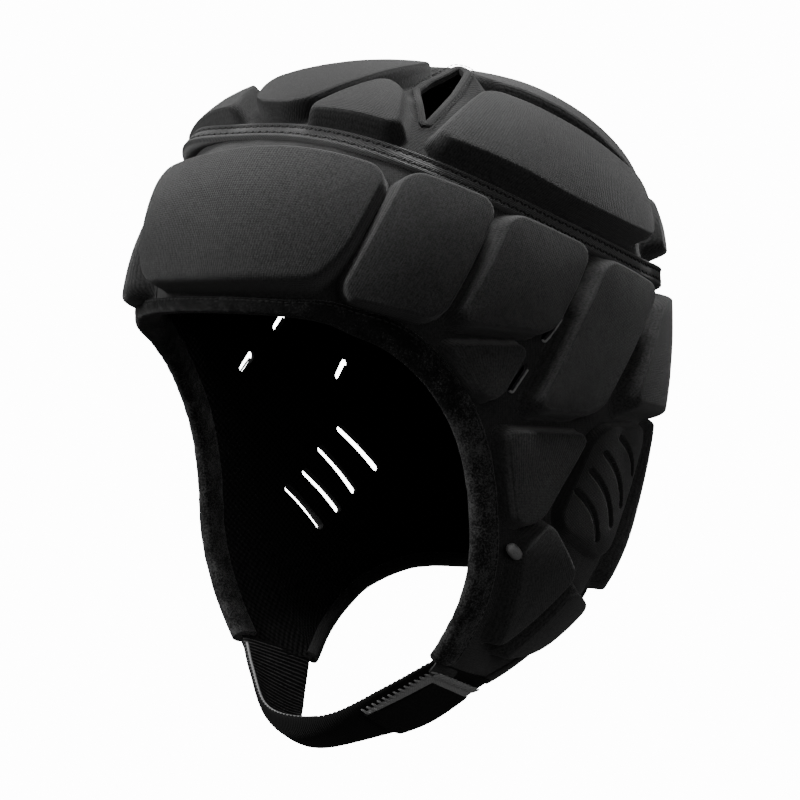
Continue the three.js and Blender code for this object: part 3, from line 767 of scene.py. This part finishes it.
def studio_material(name, glow):
    """Pale studio paper, evenly lit."""
    shader = Shader(name, Specular_IOR_Level=0.2, Emission_Strength=glow)
    shader.surface.inputs["Emission Color"].default_value = (1, 1, 1, 1)
    grain = shader.noise(40.0, 2.0)
    shader.colour(grain, [(0.2, 0.80), (0.8, 0.83)])
    shader.rough(grain, 0.8, 0.9)
    return shader.material


def angle_columns(height=-40.0):
    """Angles all round the head, evenly apart along the form, with the place of each along the cloth."""
    angles = np.linspace(-180, 180, 4001)
    length = arc_lengths(form_point(angles, height))
    low, high = PANEL_FINE_ANGLES
    stops = np.interp([-180, -high, -low, low, high, 180], angles, length)
    steps = (PANEL_STEP, PANEL_FINE_STEP, PANEL_STEP, PANEL_FINE_STEP, PANEL_STEP)
    places = stepped(stops, steps)
    return np.interp(places, length, angles), places


def stepped(stops, steps):
    """Numbers from the first stop to the last, with a spacing of their own between each two stops."""
    parts = []
    for start, end, step in zip(stops[:-1], stops[1:], steps):
        parts.append(np.linspace(start, end, max(1, round((end - start) / step)), endpoint=False))
    return np.concatenate(parts + [[stops[-1]]])


def slit_lines(side):
    """Middle lines of the slit vents on one side, each with its half width."""
    lines = []
    for top, bottom in SLITS[side]:
        rows = np.linspace(top, bottom, 5)
        lines.append((form_point(side * rows[:, 0], rows[:, 1]), SLIT_HALF_WIDTH[side]))
    return lines


def ear_slot_lines(side):
    """Bowed middle lines of the ear slots."""
    lines = []
    half_width, bow = EAR_SLOT_SIZES[side]
    for top, bottom in EAR_SLOTS[side]:
        share = np.linspace(0, 1, 9)[:, None]
        rows = (1 - share) * top + share * np.array(bottom, float)
        rows[:, :1] += bow * 4 * share * (1 - share)
        lines.append((form_point(side * rows[:, 0], rows[:, 1]), half_width))
    return lines


def cut_gap(points, cuts):
    """Distance of points from the nearest cut's edge."""
    gap = np.full(len(points), NO_CUT)
    for line, half_width in cuts:
        gap = np.minimum(gap, line_distance(points, line) - half_width)
    return gap


def panel_outline():
    """Corners round one half of the side panel, as angle and height, open upwards."""
    face = catmull(FACE_EDGE, 12).tolist()
    hem = catmull(HEM_EDGE, 12).tolist()
    before, behind, above = -1.0, 181.0, 300.0
    return [(before, above), (before, face[0][1])] + face + hem + [(behind, hem[-1][1]), (behind, above)]


def side_panel_body():
    """Cloth round brow, ears, cheeks and nape, below the crown seam."""
    columns, places = angle_columns()
    low, high = PANEL_HEIGHTS
    rows = stepped((low, *PANEL_FINE_HEIGHTS, high), (PANEL_STEP, PANEL_FINE_STEP, PANEL_STEP))
    angle, z = np.meshgrid(columns, rows)
    flat = form_point(angle, z).reshape(-1, 3)
    outline = panel_outline()
    edge = np.array(outline[2:-2])
    edge_points = form_point(edge[:, 0], edge[:, 1])
    folded = np.abs(flat) * [1, 0, 0] + flat * [0, 1, 1]
    inside = in_polygon(np.abs(angle).ravel(), z.ravel(), outline)
    field = np.where(inside, 1, -1) * line_distance(folded, edge_points) - EDGE_SHORT
    field = np.minimum(field, -seam_gap(flat) - SEAM_SHORT)
    for _, side in SIDES:
        field = np.minimum(field, cut_gap(flat, slit_lines(side) + ear_slot_lines(side)))
    channels = np.stack([angle, z, np.broadcast_to(places, angle.shape)], -1)
    kept, faces = clipped_grid(channels, field.reshape(angle.shape), wrap=True)
    return shell_body(form_point(kept[:, 0], kept[:, 1]), faces, kept[:, [2, 1]])


def shell_body(base, faces, cloth, raised=0.0):
    """Cloth shell with its outer face on the form, raised in places, and a slight unevenness."""
    normal = form_normal(base)
    height, size = CLOTH_SWAY
    sway = height * ripple(base, size) + raised
    outer = base + normal * sway[:, None]
    inner = base + normal * (sway - CLOTH)[:, None]
    return closed_body(outer, inner, faces, cloth)


def meridian_turns(count):
    """Places from the top of the dome to its foot, evenly apart along it."""
    turn = np.linspace(0, math.pi / 2, 2001)
    reach = np.sin(turn) ** (2 / DOME_POWER) * DOME_REACH
    drop = np.cos(turn) ** (2 / DOME_POWER) * HEIGHT
    length = arc_lengths(np.stack([reach, drop], 1))
    return np.interp(np.linspace(1.0, length[-1], count), length, turn)


def vent_gap(points):
    """Distance of points outside the crown vents in plan, negative inside."""
    x, y = np.abs(points[:, 0]), points[:, 1]
    ring = np.array(CROWN_VENT + CROWN_VENT[:1])
    return np.where(in_polygon(x, y, CROWN_VENT), -1, 1) * line_distance(np.stack([x, y], -1), ring)


def vent_rise(points):
    """How far the cloth stands up round the vents."""
    share = np.interp(points[:, 1], VENT_RISE_SPAN, (0, 1))
    return VENT_RISE * share ** 2 * np.exp(-(np.maximum(vent_gap(points), 0) / VENT_RISE_REACH) ** 2)


def crown_panel_body():
    """Cloth over the top of the head, with its two vents."""
    columns, places = angle_columns(0.0)
    angle, turn = np.meshgrid(columns, meridian_turns(CROWN_ROWS))
    points = form_point(angle, HEIGHT * np.cos(turn) ** (2 / DOME_POWER))
    flat = points.reshape(-1, 3)
    field = np.minimum(seam_gap(flat) - SEAM_SHORT, vent_gap(flat))
    channels = np.concatenate([points, np.broadcast_to(places, angle.shape)[..., None]], -1)
    kept, faces = clipped_grid(channels, field.reshape(angle.shape), wrap=True)
    top = len(kept)
    kept = np.vstack([kept, [[0, 0, HEIGHT, 0]]])
    first = np.arange(len(columns) - 1)
    faces += [[top, int(b), int(a)] for a, b in zip(first, np.roll(first, -1))]
    base = seat(kept[:, :3])
    return shell_body(base, faces, kept[:, :2], vent_rise(base))


def flank_rise(share):
    """Share of a pad's height over its flank: a hollow foot, a steep side and a round shoulder."""
    t = np.linspace(0, 1, 200)
    out = 3 * (1 - t) ** 2 * t * FOOT_PULL + 3 * (1 - t) * t ** 2 * SHOULDER_PULL + t ** 3
    up = 3 * (1 - t) * t ** 2 + t ** 3
    return np.interp(share, out, up)


def pad_lines(length, fine_border):
    """Places along a pad's side, closer together near its ends."""
    border = min(fine_border, 0.5 * length)
    outside = PAD_FLARE + PAD_MARGIN
    fine = np.linspace(-outside, border, int((border + outside) / FINE_STEP) + 1)
    middle = max(length - 2 * border, 0.0)
    inner = border + np.linspace(0, middle, max(2, int(middle / COARSE_STEP) + 1))
    return np.concatenate([fine, inner[1:-1], (length - fine)[::-1]]) / length


def bowed(share, bow, axis):
    """Shift along a side whose middle is moved along an axis."""
    return 4 * share * (1 - share) * bow * np.eye(3)[axis]


def surface_line(start, end, bow, axis):
    """Side of a pad on the form, drawn out a little past its corners."""
    share = np.linspace(-0.15, 1.15, 27)[:, None]
    return seat((1 - share) * start + share * end + bowed(share, bow, axis))


def rounded_depth(gaps, radius):
    """Depth inside a shape from the depth inside each side, with rounded corners."""
    short = np.maximum(radius - np.stack(gaps), 0)
    return np.where(short.max(0) > 0, radius - np.sqrt((short ** 2).sum(0)), np.stack(gaps).min(0))


def pad_grid(corners, radius, fine_border, bows, lower_flank):
    """Grid over a four-cornered pad: shares along its sides, points on the form and depth from its foot."""
    a, b, c, d = corners
    top_bow, bottom_bow, front_bow, rear_bow = bows
    width = 0.5 * (np.linalg.norm(b - a) + np.linalg.norm(c - d))
    length = 0.5 * (np.linalg.norm(d - a) + np.linalg.norm(c - b))
    s, t = np.meshgrid(pad_lines(width, fine_border), pad_lines(length, fine_border))
    across = s[..., None]
    down = t[..., None]
    flat = (1 - down) * ((1 - across) * a + across * b) + down * ((1 - across) * d + across * c)
    flat = flat + bowed(across, (1 - down) * top_bow + down * bottom_bow, 2)
    base = seat(flat + bowed(down, (1 - across) * front_bow + across * rear_bow, 0))
    sides = (
        (s, a, d, front_bow, 0, 1.0), (1 - s, b, c, rear_bow, 0, 1.0), (t, a, b, top_bow, 2, 1.0),
        (1 - t, d, c, bottom_bow, 2, lower_flank),
    )
    depths = []
    for share, start, end, bow, axis, slope in sides:
        gap = line_distance(base.reshape(-1, 3), surface_line(start, end, bow, axis))
        depths.append((gap * np.where(share.ravel() > 0, 1, -1) + PAD_FLARE) / slope)
    depth = rounded_depth(depths, radius).reshape(s.shape)
    return s * width, t * length, base, depth


def pad_body(corners, height, radius, cuts, fine_border=FINE_BORDER, bows=(0, 0, 0, 0), flank=PAD_FLANK,
             lower_flank=1.0, lip=LIP, taper=(1, 1)):
    """Moulded pad: flaring foot, steep flank, round shoulder and a slightly domed top."""
    u, v, base, depth = pad_grid(corners, radius, fine_border, bows, lower_flank)
    gap = cut_gap(base.reshape(-1, 3), cuts).reshape(depth.shape)
    channels = np.concatenate([base, np.stack([u, v, depth, gap], -1)], -1)
    kept, faces = clipped_grid(channels, np.minimum(depth, gap))
    base = kept[:, :3]
    depth = np.maximum(kept[:, 5], 0)
    rise = flank_rise(np.clip(depth / flank, 0, 1))
    dome = PAD_DOME * (1 - np.exp(-np.maximum(depth - flank, 0) / PAD_DOME_REACH))
    sway = sum(amount * ripple(base, size, seed) for amount, size, seed in PAD_SWAYS)
    lift = PAD_FOOT + (height + PAD_COVER + dome + sway) * rise
    lift = lift * np.interp(base[:, 2], [base[:, 2].min(), base[:, 2].max()], taper)
    lip_height, lip_reach = lip
    edge = np.clip(kept[:, 6] / lip_reach, 0, 1)
    lift = np.minimum(lift, lip_height + (height + LIP_OVER - lip_height) * np.sin(0.5 * math.pi * edge))
    normal = form_normal(base)
    outer = base + normal * lift[:, None]
    inner = base + normal * PAD_FLOOR
    return closed_body(outer, inner, faces, kept[:, 3:5])


def form_corners(rows, side=1):
    return [form_point(side * angle, z) for angle, z in rows]


def plan_corners(rows, side=1):
    return [plan_point(side * x, y) for x, y in rows]


def add_pad(name, tag, corners, sizes, cuts, materials):
    """A pad over the CAD pad of its name and side."""
    body = pad_body(corners, *sizes, cuts, **PAD_SHAPES.get(name + tag, PAD_SHAPES.get(name, {})))
    make_piece(f"{name}{tag}_foam", body, materials, [name + tag])


def add_pads(materials, painted_shade_materials, deeper_painted_shade_materials):
    """All the pads: pairs on the sides and crown, then those on the midline."""
    for tag, side in SIDES:
        slits = slit_lines(side)
        own = RIGHT_PADS if side < 0 else {}
        for name, (rows, *sizes) in SIDE_PADS.items():
            add_pad(name, tag, form_corners(own.get(name, rows), side), sizes, slits, materials)
        rows, *sizes = CROWN_WEDGE
        corners = plan_corners(own.get("crown_wedge", rows), side)
        # Painted shade: the crown wedges take the shell's darker knit.
        add_pad("crown_wedge", tag, corners, sizes, (), painted_shade_materials)
        # Painted shade: the ear covers take the darkest knit.
        rows, *sizes = EAR_COVER
        corners = form_corners(own.get("ear_cover", rows), side)
        add_pad("ear_cover", tag, corners, sizes, ear_slot_lines(side), deeper_painted_shade_materials)
    rows, *sizes = BROW_PAD
    add_pad("brow_pad", "", form_corners(rows), sizes, (), materials)
    # Painted shade: the top front pad takes the darkest knit.
    rows, *sizes = CROWN_FRONT_PAD
    add_pad("crown_front_pad", "", plan_corners(rows), sizes, (), deeper_painted_shade_materials)
    rows, *sizes = CROWN_BACK_PAD
    add_pad("crown_back_pad", "", plan_corners(rows), sizes, (), materials)


def cord_body(path, radius):
    """Round cord along a path."""
    turn = np.linspace(0, 2 * math.pi, 9)[:-1]
    tangent = unit(np.gradient(path, axis=0))
    side = unit(np.cross(tangent, [0.3, 0.2, 1.0]))
    up = np.cross(side, tangent)
    spokes = np.cos(turn)[None, :, None] * side[:, None] + np.sin(turn)[None, :, None] * up[:, None]
    radius = np.broadcast_to(radius, len(path))
    return tube_body(path[:, None] + radius[:, None, None] * spokes)


def slit_rim(line, half_width):
    """Path along the rear edge of a slit and round its lower end."""
    along = unit(line[-1] - line[0])
    rear = unit(np.cross(form_normal(line[2]), along))
    rear = rear if rear[1] > 0 else -rear
    turns = np.radians(np.linspace(0, SLIT_RIM_TURN, 12))[:, None]
    bend = line[-1] + half_width * (np.cos(turns) * rear + np.sin(turns) * along)
    straight = even_line(line + half_width * rear, 0.4)
    return seat(np.vstack([straight[:-1], bend]), SLIT_RIM_LIFT)


def add_slit_rims(thread):
    """Pale turned edge of each slit."""
    for tag, side in SIDES:
        body = joined([cord_body(slit_rim(*slit), SLIT_RIM) for slit in slit_lines(side)])
        make_piece("slit_rims" + tag, body, [thread])


def add_tabs(thread):
    """Small stitched tab at the front of each upper cheek pad."""
    share = np.linspace(0, 1, 17)
    radius = TAB_RADIUS * (1 - np.abs(2 * share - 1) ** 3.5) ** 0.5 + 0.08
    for tag, side in SIDES:
        start, end = form_corners(TAB, side)
        path = seat((1 - share[:, None]) * start + share[:, None] * end, TAB_LIFT)
        make_piece("cheek_tab" + tag, cord_body(path, radius), [thread])


def into_directions(line, closed, toward):
    """Directions along the form, square to a line on it and on the side of a place."""
    if closed:
        tangent = np.roll(line, -1, 0) - np.roll(line, 1, 0)
    else:
        tangent = np.gradient(line, axis=0)
    into = unit(np.cross(form_normal(line), tangent))
    return -into if ((toward - line) * into).sum() < 0 else into


def azimuths(points):
    """Angle of points round the head, as seen from above."""
    return np.degrees(np.arctan2(points[:, 0], -points[:, 1]))


def swells(points, rows):
    """Height at each point from rows of angle, reach and height."""
    angle = azimuths(points)
    return sum(height * np.exp(-((angle - middle) / reach) ** 2) for middle, reach, height in rows)


def swept_body(line, corners, toward, closed=False, sway=None, raised=0.0, widths=1.0, foot=0.0):
    """Section swept along a line, raised above its foot and widened at each point."""
    into = into_directions(line, closed, toward)
    section = rounded_section(corners)
    widths = np.broadcast_to(widths, len(line))
    raised = np.broadcast_to(raised, len(line))
    places = line[:, None, :] + into[:, None, :] * section[None, :, :1] * widths[:, None, None]
    rings = seat(places, section[:, 1] + raised[:, None] * (section[:, 1] > foot))
    if sway:
        amount, size, seed = sway
        rings = rings + form_normal(rings) * (amount * ripple(rings, size, seed))[..., None]
    return tube_body(rings, closed)


def rounded_section(corners, steps=4):
    """Smooth section through corners of across and lift."""
    ring = catmull(corners[-2:] + corners + corners[:2], steps)
    return ring[2 * steps:(len(corners) + 1) * steps]


def seam_line(step):
    """The crown seam on the form, found by halving the heights between which it lies."""
    angles = np.linspace(-180, 180, 721)[:-1]
    low = np.full(angles.shape, -5.0)
    high = np.full(angles.shape, HEIGHT - 0.5)
    for _ in range(40):
        middle = 0.5 * (low + high)
        below = middle < seam_height(form_point(angles, middle)[:, 1])
        low = np.where(below, middle, low)
        high = np.where(below, high, middle)
    return even_ring(form_point(angles, 0.5 * (low + high)), step)


def stitch_template():
    """Small rounded thread: unit long, unit wide, unit high."""
    rings = []
    for share in (-1.0, -0.8, -0.35, 0.35, 0.8, 1.0):
        size = math.sqrt(max(1 - abs(share) ** 3, 0.0)) + 0.05
        turn = np.linspace(0, 2 * math.pi, 7)[:-1]
        rings.append(np.stack([np.full(6, share), size * np.cos(turn), size * np.sin(turn)], 1))
    return np.array(rings) * 0.5


def stitches_body(centres, along, up, size):
    """Row of thread stitches: length, width and height of each."""
    template = tube_body(stitch_template() * size)
    along = unit(along)
    side = unit(np.cross(up, along))
    axes = np.stack([along, side, np.cross(along, side)], 1)
    points = (template.points @ axes + centres[:, None, :]).reshape(-1, 3)
    count = len(template.points)
    faces = [[k + start * count for k in face] for start in range(len(centres)) for face in template.faces]
    cloth = np.tile(template.cloth, (len(centres), 1))
    return Body(points, faces, [0] * len(faces), cloth)


def row_stitches(line, across, lift, pitch, size, slant, closed, toward):
    """Stitches along a line on the form, moved across it; slant swings them to either side in turn."""
    path = seat(line + into_directions(line, closed, toward) * across, lift)
    lengths = arc_lengths(path)
    places = np.arange(pitch, lengths[-1] - 0.5 * pitch, pitch)
    centres = along_line(path, places, lengths)
    along = unit(along_line(path, places + 0.5, lengths) - centres)
    up = form_normal(centres)
    swing = np.where(np.arange(len(places)) % 2 == 0, slant, -slant)[:, None]
    return stitches_body(centres, along + swing * np.cross(up, along), up, size)


def stitched(line, rule, rise, toward, closed=False, widths=1.0):
    """All the rows of stitches beside a line."""
    places, lift, *stitch = rule
    rows = [row_stitches(line, across * widths, lift + rise, *stitch, closed, toward) for across in places]
    return joined(rows)


def add_shell(knit, lining, edge):
    """The two cloth panels."""
    make_piece("side_shell", side_panel_body(), [knit, lining, edge], ["side_panel"])
    make_piece("crown_shell", crown_panel_body(), [knit, lining, edge], ["crown_panel"])


def vent_line(side):
    """Edge of a vent on the dome, with rounded corners."""
    ring = []
    corners = [np.array((side * x, y)) for x, y in CROWN_VENT]
    for before, corner, after in zip(corners[-1:] + corners[:-1], corners, corners[1:] + corners[:1]):
        start = corner + unit(before - corner) * VENT_RADIUS
        end = corner + unit(after - corner) * VENT_RADIUS
        for share in np.linspace(0, 1, 5):
            ring.append((1 - share) ** 2 * start + 2 * share * (1 - share) * corner + share ** 2 * end)
    return even_ring(np.array([plan_point(x, y) for x, y in ring]), VENT_STEP)


def add_face_binding(velour, thread):
    """Velour round the face opening, narrow over the brow, with two stitch rows."""
    face = edge_line(mirrored_rows(FACE_EDGE), FACE_STEP)
    face = face[face[:, 2] > BINDING_END]
    widths = np.interp(np.abs(azimuths(face)), BROW_WIDTH_SPAN, (BROW_WIDTH, 1))
    widths[face[:, 2] < BROW_FLOOR] = 1.0
    rise = np.where(face[:, 2] > BROW_FLOOR, swells(face, FACE_SWELLS), 0.0)
    body = swept_body(face, FACE_SECTION, HEAD_MIDDLE, False, VELOUR_SWAY, rise, widths)
    make_piece("face_velour", body, [velour], ["face_binding"])
    body = stitched(face, FACE_STITCHES, rise, HEAD_MIDDLE, widths=widths[:, None])
    make_piece("face_stitches", body, [thread])


def add_hem(knit):
    """Thin rolled edge round cheeks and nape."""
    rows = HEM_EDGE + [(360 - angle, z) for angle, z in HEM_EDGE[-2::-1]]
    body = swept_body(edge_line(rows, HEM_STEP), HEM_SECTION, HEAD_MIDDLE)
    make_piece("hem_roll", body, [knit], ["hem_binding"])


def add_tape(tape, thread):
    """Tape over the crown seam, with two slanted stitch rows."""
    seam = seam_line(SEAM_STEP)
    rise = swells(seam, TAPE_SWELLS)
    body = swept_body(seam, TAPE_SECTION, HEAD_MIDDLE, True, raised=rise)
    make_piece("crown_band", body, [tape], ["crown_tape"])
    body = stitched(seam, TAPE_STITCHES, rise, HEAD_MIDDLE, True)
    make_piece("crown_band_stitches", body, [thread])


def add_vents(knit, thread):
    """Folded and stitched edge of each crown vent, as high as the cloth round it."""
    for tag, side in SIDES:
        line = vent_line(side)
        away = 2 * line - line.mean(0)
        rise = vent_rise(line)
        body = swept_body(line, VENT_SECTION, away, True, raised=rise, foot=-math.inf)
        make_piece("vent_fold" + tag, body, [knit], ["vent_rim" + tag])
        body = stitched(line, VENT_STITCHES, rise, away, True)
        make_piece("vent_stitches" + tag, body, [thread])


def both_sides(rows):
    """Points from the left end to the middle, carried on to the right end."""
    rows = np.array(rows, float)
    return np.vstack([rows, rows[-2::-1] * [-1, 1, 1]])


class Strap:
    """The chin strap's band, as places along it from left to right and across it from front to rear."""

    def __init__(self):
        self.front = even_line(catmull(both_sides(STRAP_FRONT), 40), 0.25)
        self.rear = even_line(catmull(both_sides(STRAP_REAR), 40), 0.25)
        self.length = 0.5 * (arc_lengths(self.front)[-1] + arc_lengths(self.rear)[-1])

    def edge(self, line, along):
        """Point of an edge, straight on past its ends."""
        spot = np.clip(along, 0, 1)
        point = along_line(line, spot, np.linspace(0, 1, len(line)))
        over = (along - spot)[..., None] * self.length
        ends = np.where((along < 0.5)[..., None], unit(line[3] - line[0]), unit(line[-1] - line[-4]))
        return point + over * ends

    def point(self, along, across, lift):
        """Point of the cupped band, lifted outward."""
        along, across, lift = np.broadcast_arrays(along, across, lift)
        front = self.edge(self.front, along)
        rear = self.edge(self.rear, along)
        step = 0.01
        tangent = self.edge(self.front, along + step) - self.edge(self.front, along - step)
        tangent = tangent + self.edge(self.rear, along + step) - self.edge(self.rear, along - step)
        outward = unit(np.cross(tangent, rear - front))
        middle = np.clip(along, 0, 1)
        cup = STRAP_CUP * np.sin(math.pi * middle) ** 2 * (1 - np.abs(2 * across - 1) ** 3)
        return front + (rear - front) * across[..., None] + outward * (lift + cup)[..., None]


def band_body(strap, along, across, outer, inner):
    """Solid band between two lifts over a stretch of the strap."""
    a, b = np.meshgrid(along, across, indexing="ij")
    top = strap.point(a, b, outer(a, b)).reshape(-1, 3)
    under = strap.point(a, b, inner(a, b)).reshape(-1, 3)
    cloth = np.stack([b * STRAP_WIDTH, a * strap.length], -1).reshape(-1, 2)
    return closed_body(top, under, grid_faces(len(along), len(across)), cloth)


def edge_round(across):
    """Share of the strap's thickness across it, less at its edges."""
    return np.sqrt(np.clip(1 - np.abs(2 * across - 1) ** 9, 0, 1)) * 0.75 + 0.25


def add_strap(webbing, ribs, border, hook, pale):
    """The webbing band from cheek to cheek, its piping and its patch."""
    strap = Strap()
    over = STRAP_OVERLAP / strap.length
    rows, columns = STRAP_MESH
    along = np.linspace(-over, 1 + over, rows)
    across = 0.5 - 0.5 * np.cos(np.linspace(0, math.pi, columns))

    def outer(_, b):
        return 0.5 * STRAP_THICK * edge_round(b)

    def inner(a, b):
        wave = STRAP_RIB_HEIGHT * np.sin(2 * math.pi * a * strap.length / STRAP_RIB) * edge_round(b)
        return -0.5 * STRAP_THICK * edge_round(b) + wave

    body = band_body(strap, along, across, outer, inner)
    make_piece("strap_band", body, [webbing, ribs, webbing], ["chin_strap"])
    path = strap.point(np.linspace(*PIPING_SPAN, 160), PIPING_PLACE, PIPING_LIFT)
    make_piece("strap_piping", cord_body(path, PIPING_RADIUS), [pale])
    add_patch(strap, border, hook, pale)


def patch_plate(strap, along, across, low, high):
    """Plate on the strap's outer face: ends along it, ends across it at its start and end, and its lifts."""
    start, end = along
    surface = 0.5 * STRAP_THICK
    rows, columns = PATCH_MESH
    a, b = np.meshgrid(np.linspace(start, end, rows), np.linspace(0, 1, columns), indexing="ij")
    share = (a - start) / (end - start)
    first, last = ((1 - share) * place + share * place_end for place, place_end in zip(*across))
    place = first + (last - first) * b
    rim = np.minimum(a - start, end - a) * strap.length
    rim = np.minimum(rim, np.minimum(b, 1 - b) * (last - first) * STRAP_WIDTH)
    top = strap.point(a, place, surface + low + (high - low) * np.clip(rim / PATCH_RIM, 0, 1) ** 0.5)
    under = strap.point(a, place, surface - 0.5)
    cloth = np.stack([place * STRAP_WIDTH, a * strap.length], -1).reshape(-1, 2)
    return closed_body(top.reshape(-1, 3), under.reshape(-1, 3), grid_faces(*a.shape), cloth)


def add_patch(strap, border, hook, thread):
    """Grey border round two sides of a napped middle, whipped down along its outer edge."""
    left, right = PATCH_SIDES
    border_along, border_across = PATCH_BORDER
    over_along, over = PATCH_OVERHANG
    plate = patch_plate(strap, (0.0, PATCH_LENGTH), (PATCH_SIDES, PATCH_SIDES), *PATCH_PLATE_LIFTS)
    make_piece("patch_plate", plate, [border], ["strap_patch"])
    across = ((left + border_across, right + over), (left + over, right + over))
    face = patch_plate(strap, (border_along, PATCH_LENGTH + over_along), across, *PATCH_FACE_LIFTS)
    make_piece("patch_face", face, [hook])
    make_piece("patch_stitches", whip_body(strap), [thread])


def whip_body(strap):
    """Whip stitches along the patch's front side and along its end."""
    left, right = PATCH_SIDES
    short_along, short_across = WHIP_SHORT
    front = np.linspace(0.0, PATCH_LENGTH - short_along, WHIP_COUNT)
    end = np.linspace(left + short_across, right - short_across, WHIP_COUNT)
    surface = 0.5 * STRAP_THICK
    rows = []
    for (along, across, lift), (end_along, end_across, end_lift) in zip(WHIP_FRONT, WHIP_END):
        front_row = strap.point(front + along, left + across, surface + lift)
        end_row = strap.point(end_along, end + end_across, surface + end_lift)
        rows.append(np.vstack([front_row, end_row]))
    tops, feet = rows
    up = np.broadcast_to(unit(np.array(WHIP_UP)), tops.shape)
    return stitches_body(0.5 * (tops + feet), tops - feet, up, WHIP_SIZE)


def direction(azimuth, elevation):
    """Direction from the origin, with the azimuth from the face towards the wearer's left."""
    azimuth = math.radians(azimuth)
    elevation = math.radians(elevation)
    level = math.cos(elevation)
    return np.array([math.sin(azimuth) * level, -math.cos(azimuth) * level, math.sin(elevation)])


def add_area_light(name, azimuth, elevation, distance, size, power):
    """Round soft light that points at the part and lights it alone."""
    data = bpy.data.lights.new(name, "AREA")
    data.shape = "DISK"
    data.size = size
    data.energy = power
    light = bpy.data.objects.new(name, data)
    toward = direction(azimuth, elevation)
    light.location = toward * distance
    light.rotation_euler = Vector(-toward).to_track_quat("-Z", "Y").to_euler()
    bpy.context.scene.collection.objects.link(light)
    light.light_linking.receiver_collection = guard


def add_camera():
    """Camera at the photograph's angle."""
    back = direction(VIEW_AZIMUTH, VIEW_ELEVATION)
    right = direction(VIEW_AZIMUTH + 90, 0)
    up = np.cross(back, right)
    data = bpy.data.cameras.new("photo_view")
    data.lens = LENS
    data.sensor_width = 36.0
    camera = bpy.data.objects.new("photo_view", data)
    place = right * VIEW_SHIFT[0] + up * VIEW_SHIFT[1] + back * VIEW_DISTANCE
    camera.location = place * MM
    camera.rotation_euler = Vector(-back).to_track_quat("-Z", "Y").to_euler()
    bpy.context.scene.collection.objects.link(camera)
    bpy.context.scene.camera = camera


def turned_grid(profile, columns=96):
    """Points and faces of a profile of radius and height, turned round the upright axis."""
    turns = np.linspace(0, 2 * math.pi, columns, endpoint=False)
    circle = [(math.cos(turn), math.sin(turn)) for turn in turns]
    points = [(radius * x, radius * y, z) for radius, z in profile for x, y in circle]
    return points, grid_faces(len(profile), columns, closed=True)


def add_floor():
    """Pale round floor under the part, in a white dome that closes off the view all round."""
    floor = [(FLOOR_RADIUS * share, FLOOR_HEIGHT) for share in (0.002, 0.25, 0.5, 0.75, 1.0)]
    add_stage("studio_floor", *turned_grid(floor + [(FLOOR_RADIUS + 0.005, FLOOR_HEIGHT - 0.01)]), FLOOR_GLOW)
    rise = np.radians(np.linspace(-89.5, 89.5, 40))
    dome = [(DOME_RADIUS * math.cos(turn), DOME_RADIUS * math.sin(turn)) for turn in rise]
    add_stage("studio_dome", *turned_grid(dome), DOME_GLOW)


def add_stage(name, points, faces, glow):
    """A surface of the studio, seen by the camera alone."""
    mesh = bpy.data.meshes.new(name)
    mesh.from_pydata(points, [], faces)
    mesh.materials.append(studio_material(name, glow))
    stage = bpy.data.objects.new(name, mesh)
    stage.visible_diffuse = False
    stage.visible_glossy = False
    stage.visible_shadow = False
    bpy.context.scene.collection.objects.link(stage)


def add_lights():
    """The studio lights and a little light from all round."""
    for name, settings in LIGHTS.items():
        add_area_light(name, *settings)
    world = bpy.data.worlds.new("studio")
    world.use_nodes = True
    background = world.node_tree.nodes["Background"]
    background.inputs["Color"].default_value = (1, 1, 1, 1)
    background.inputs["Strength"].default_value = WORLD_LIGHT
    bpy.context.scene.world = world


# The three knits are one cloth. The shell's darker copy is painted shade in the channels between the pads and
# on the crown wedges. The darkest copy is painted shade on the ear covers and the top front pad.
pad_knit = knit_material("pad_knit", 0.006, 0.028)
shell_knit_painted_shade = knit_material("shell_knit_painted_shade", 0.004, 0.018)
darkest_painted_shade_knit = knit_material("darkest_painted_shade_knit", 0.003, 0.010)
cut_edge = foam_material()
dark_thread = thread_material("dark_thread", 0.002, 0.008)
pale_thread = thread_material("pale_thread", 0.12, 0.3)
tab_thread = thread_material("tab_thread", 0.10, 0.20)

add_camera()
add_shell(shell_knit_painted_shade, lining_material(), cut_edge)
under = [shell_knit_painted_shade, cut_edge]
add_pads([pad_knit, *under], [shell_knit_painted_shade, *under], [darkest_painted_shade_knit, *under])
add_slit_rims(pale_thread)
add_tabs(tab_thread)
add_face_binding(velour_material(), dark_thread)
add_hem(shell_knit_painted_shade)
add_tape(tape_material(), dark_thread)
add_vents(shell_knit_painted_shade, dark_thread)
add_strap(webbing_material(), ribbed_material(), border_material(), hook_material(), pale_thread)
add_floor()
add_lights()
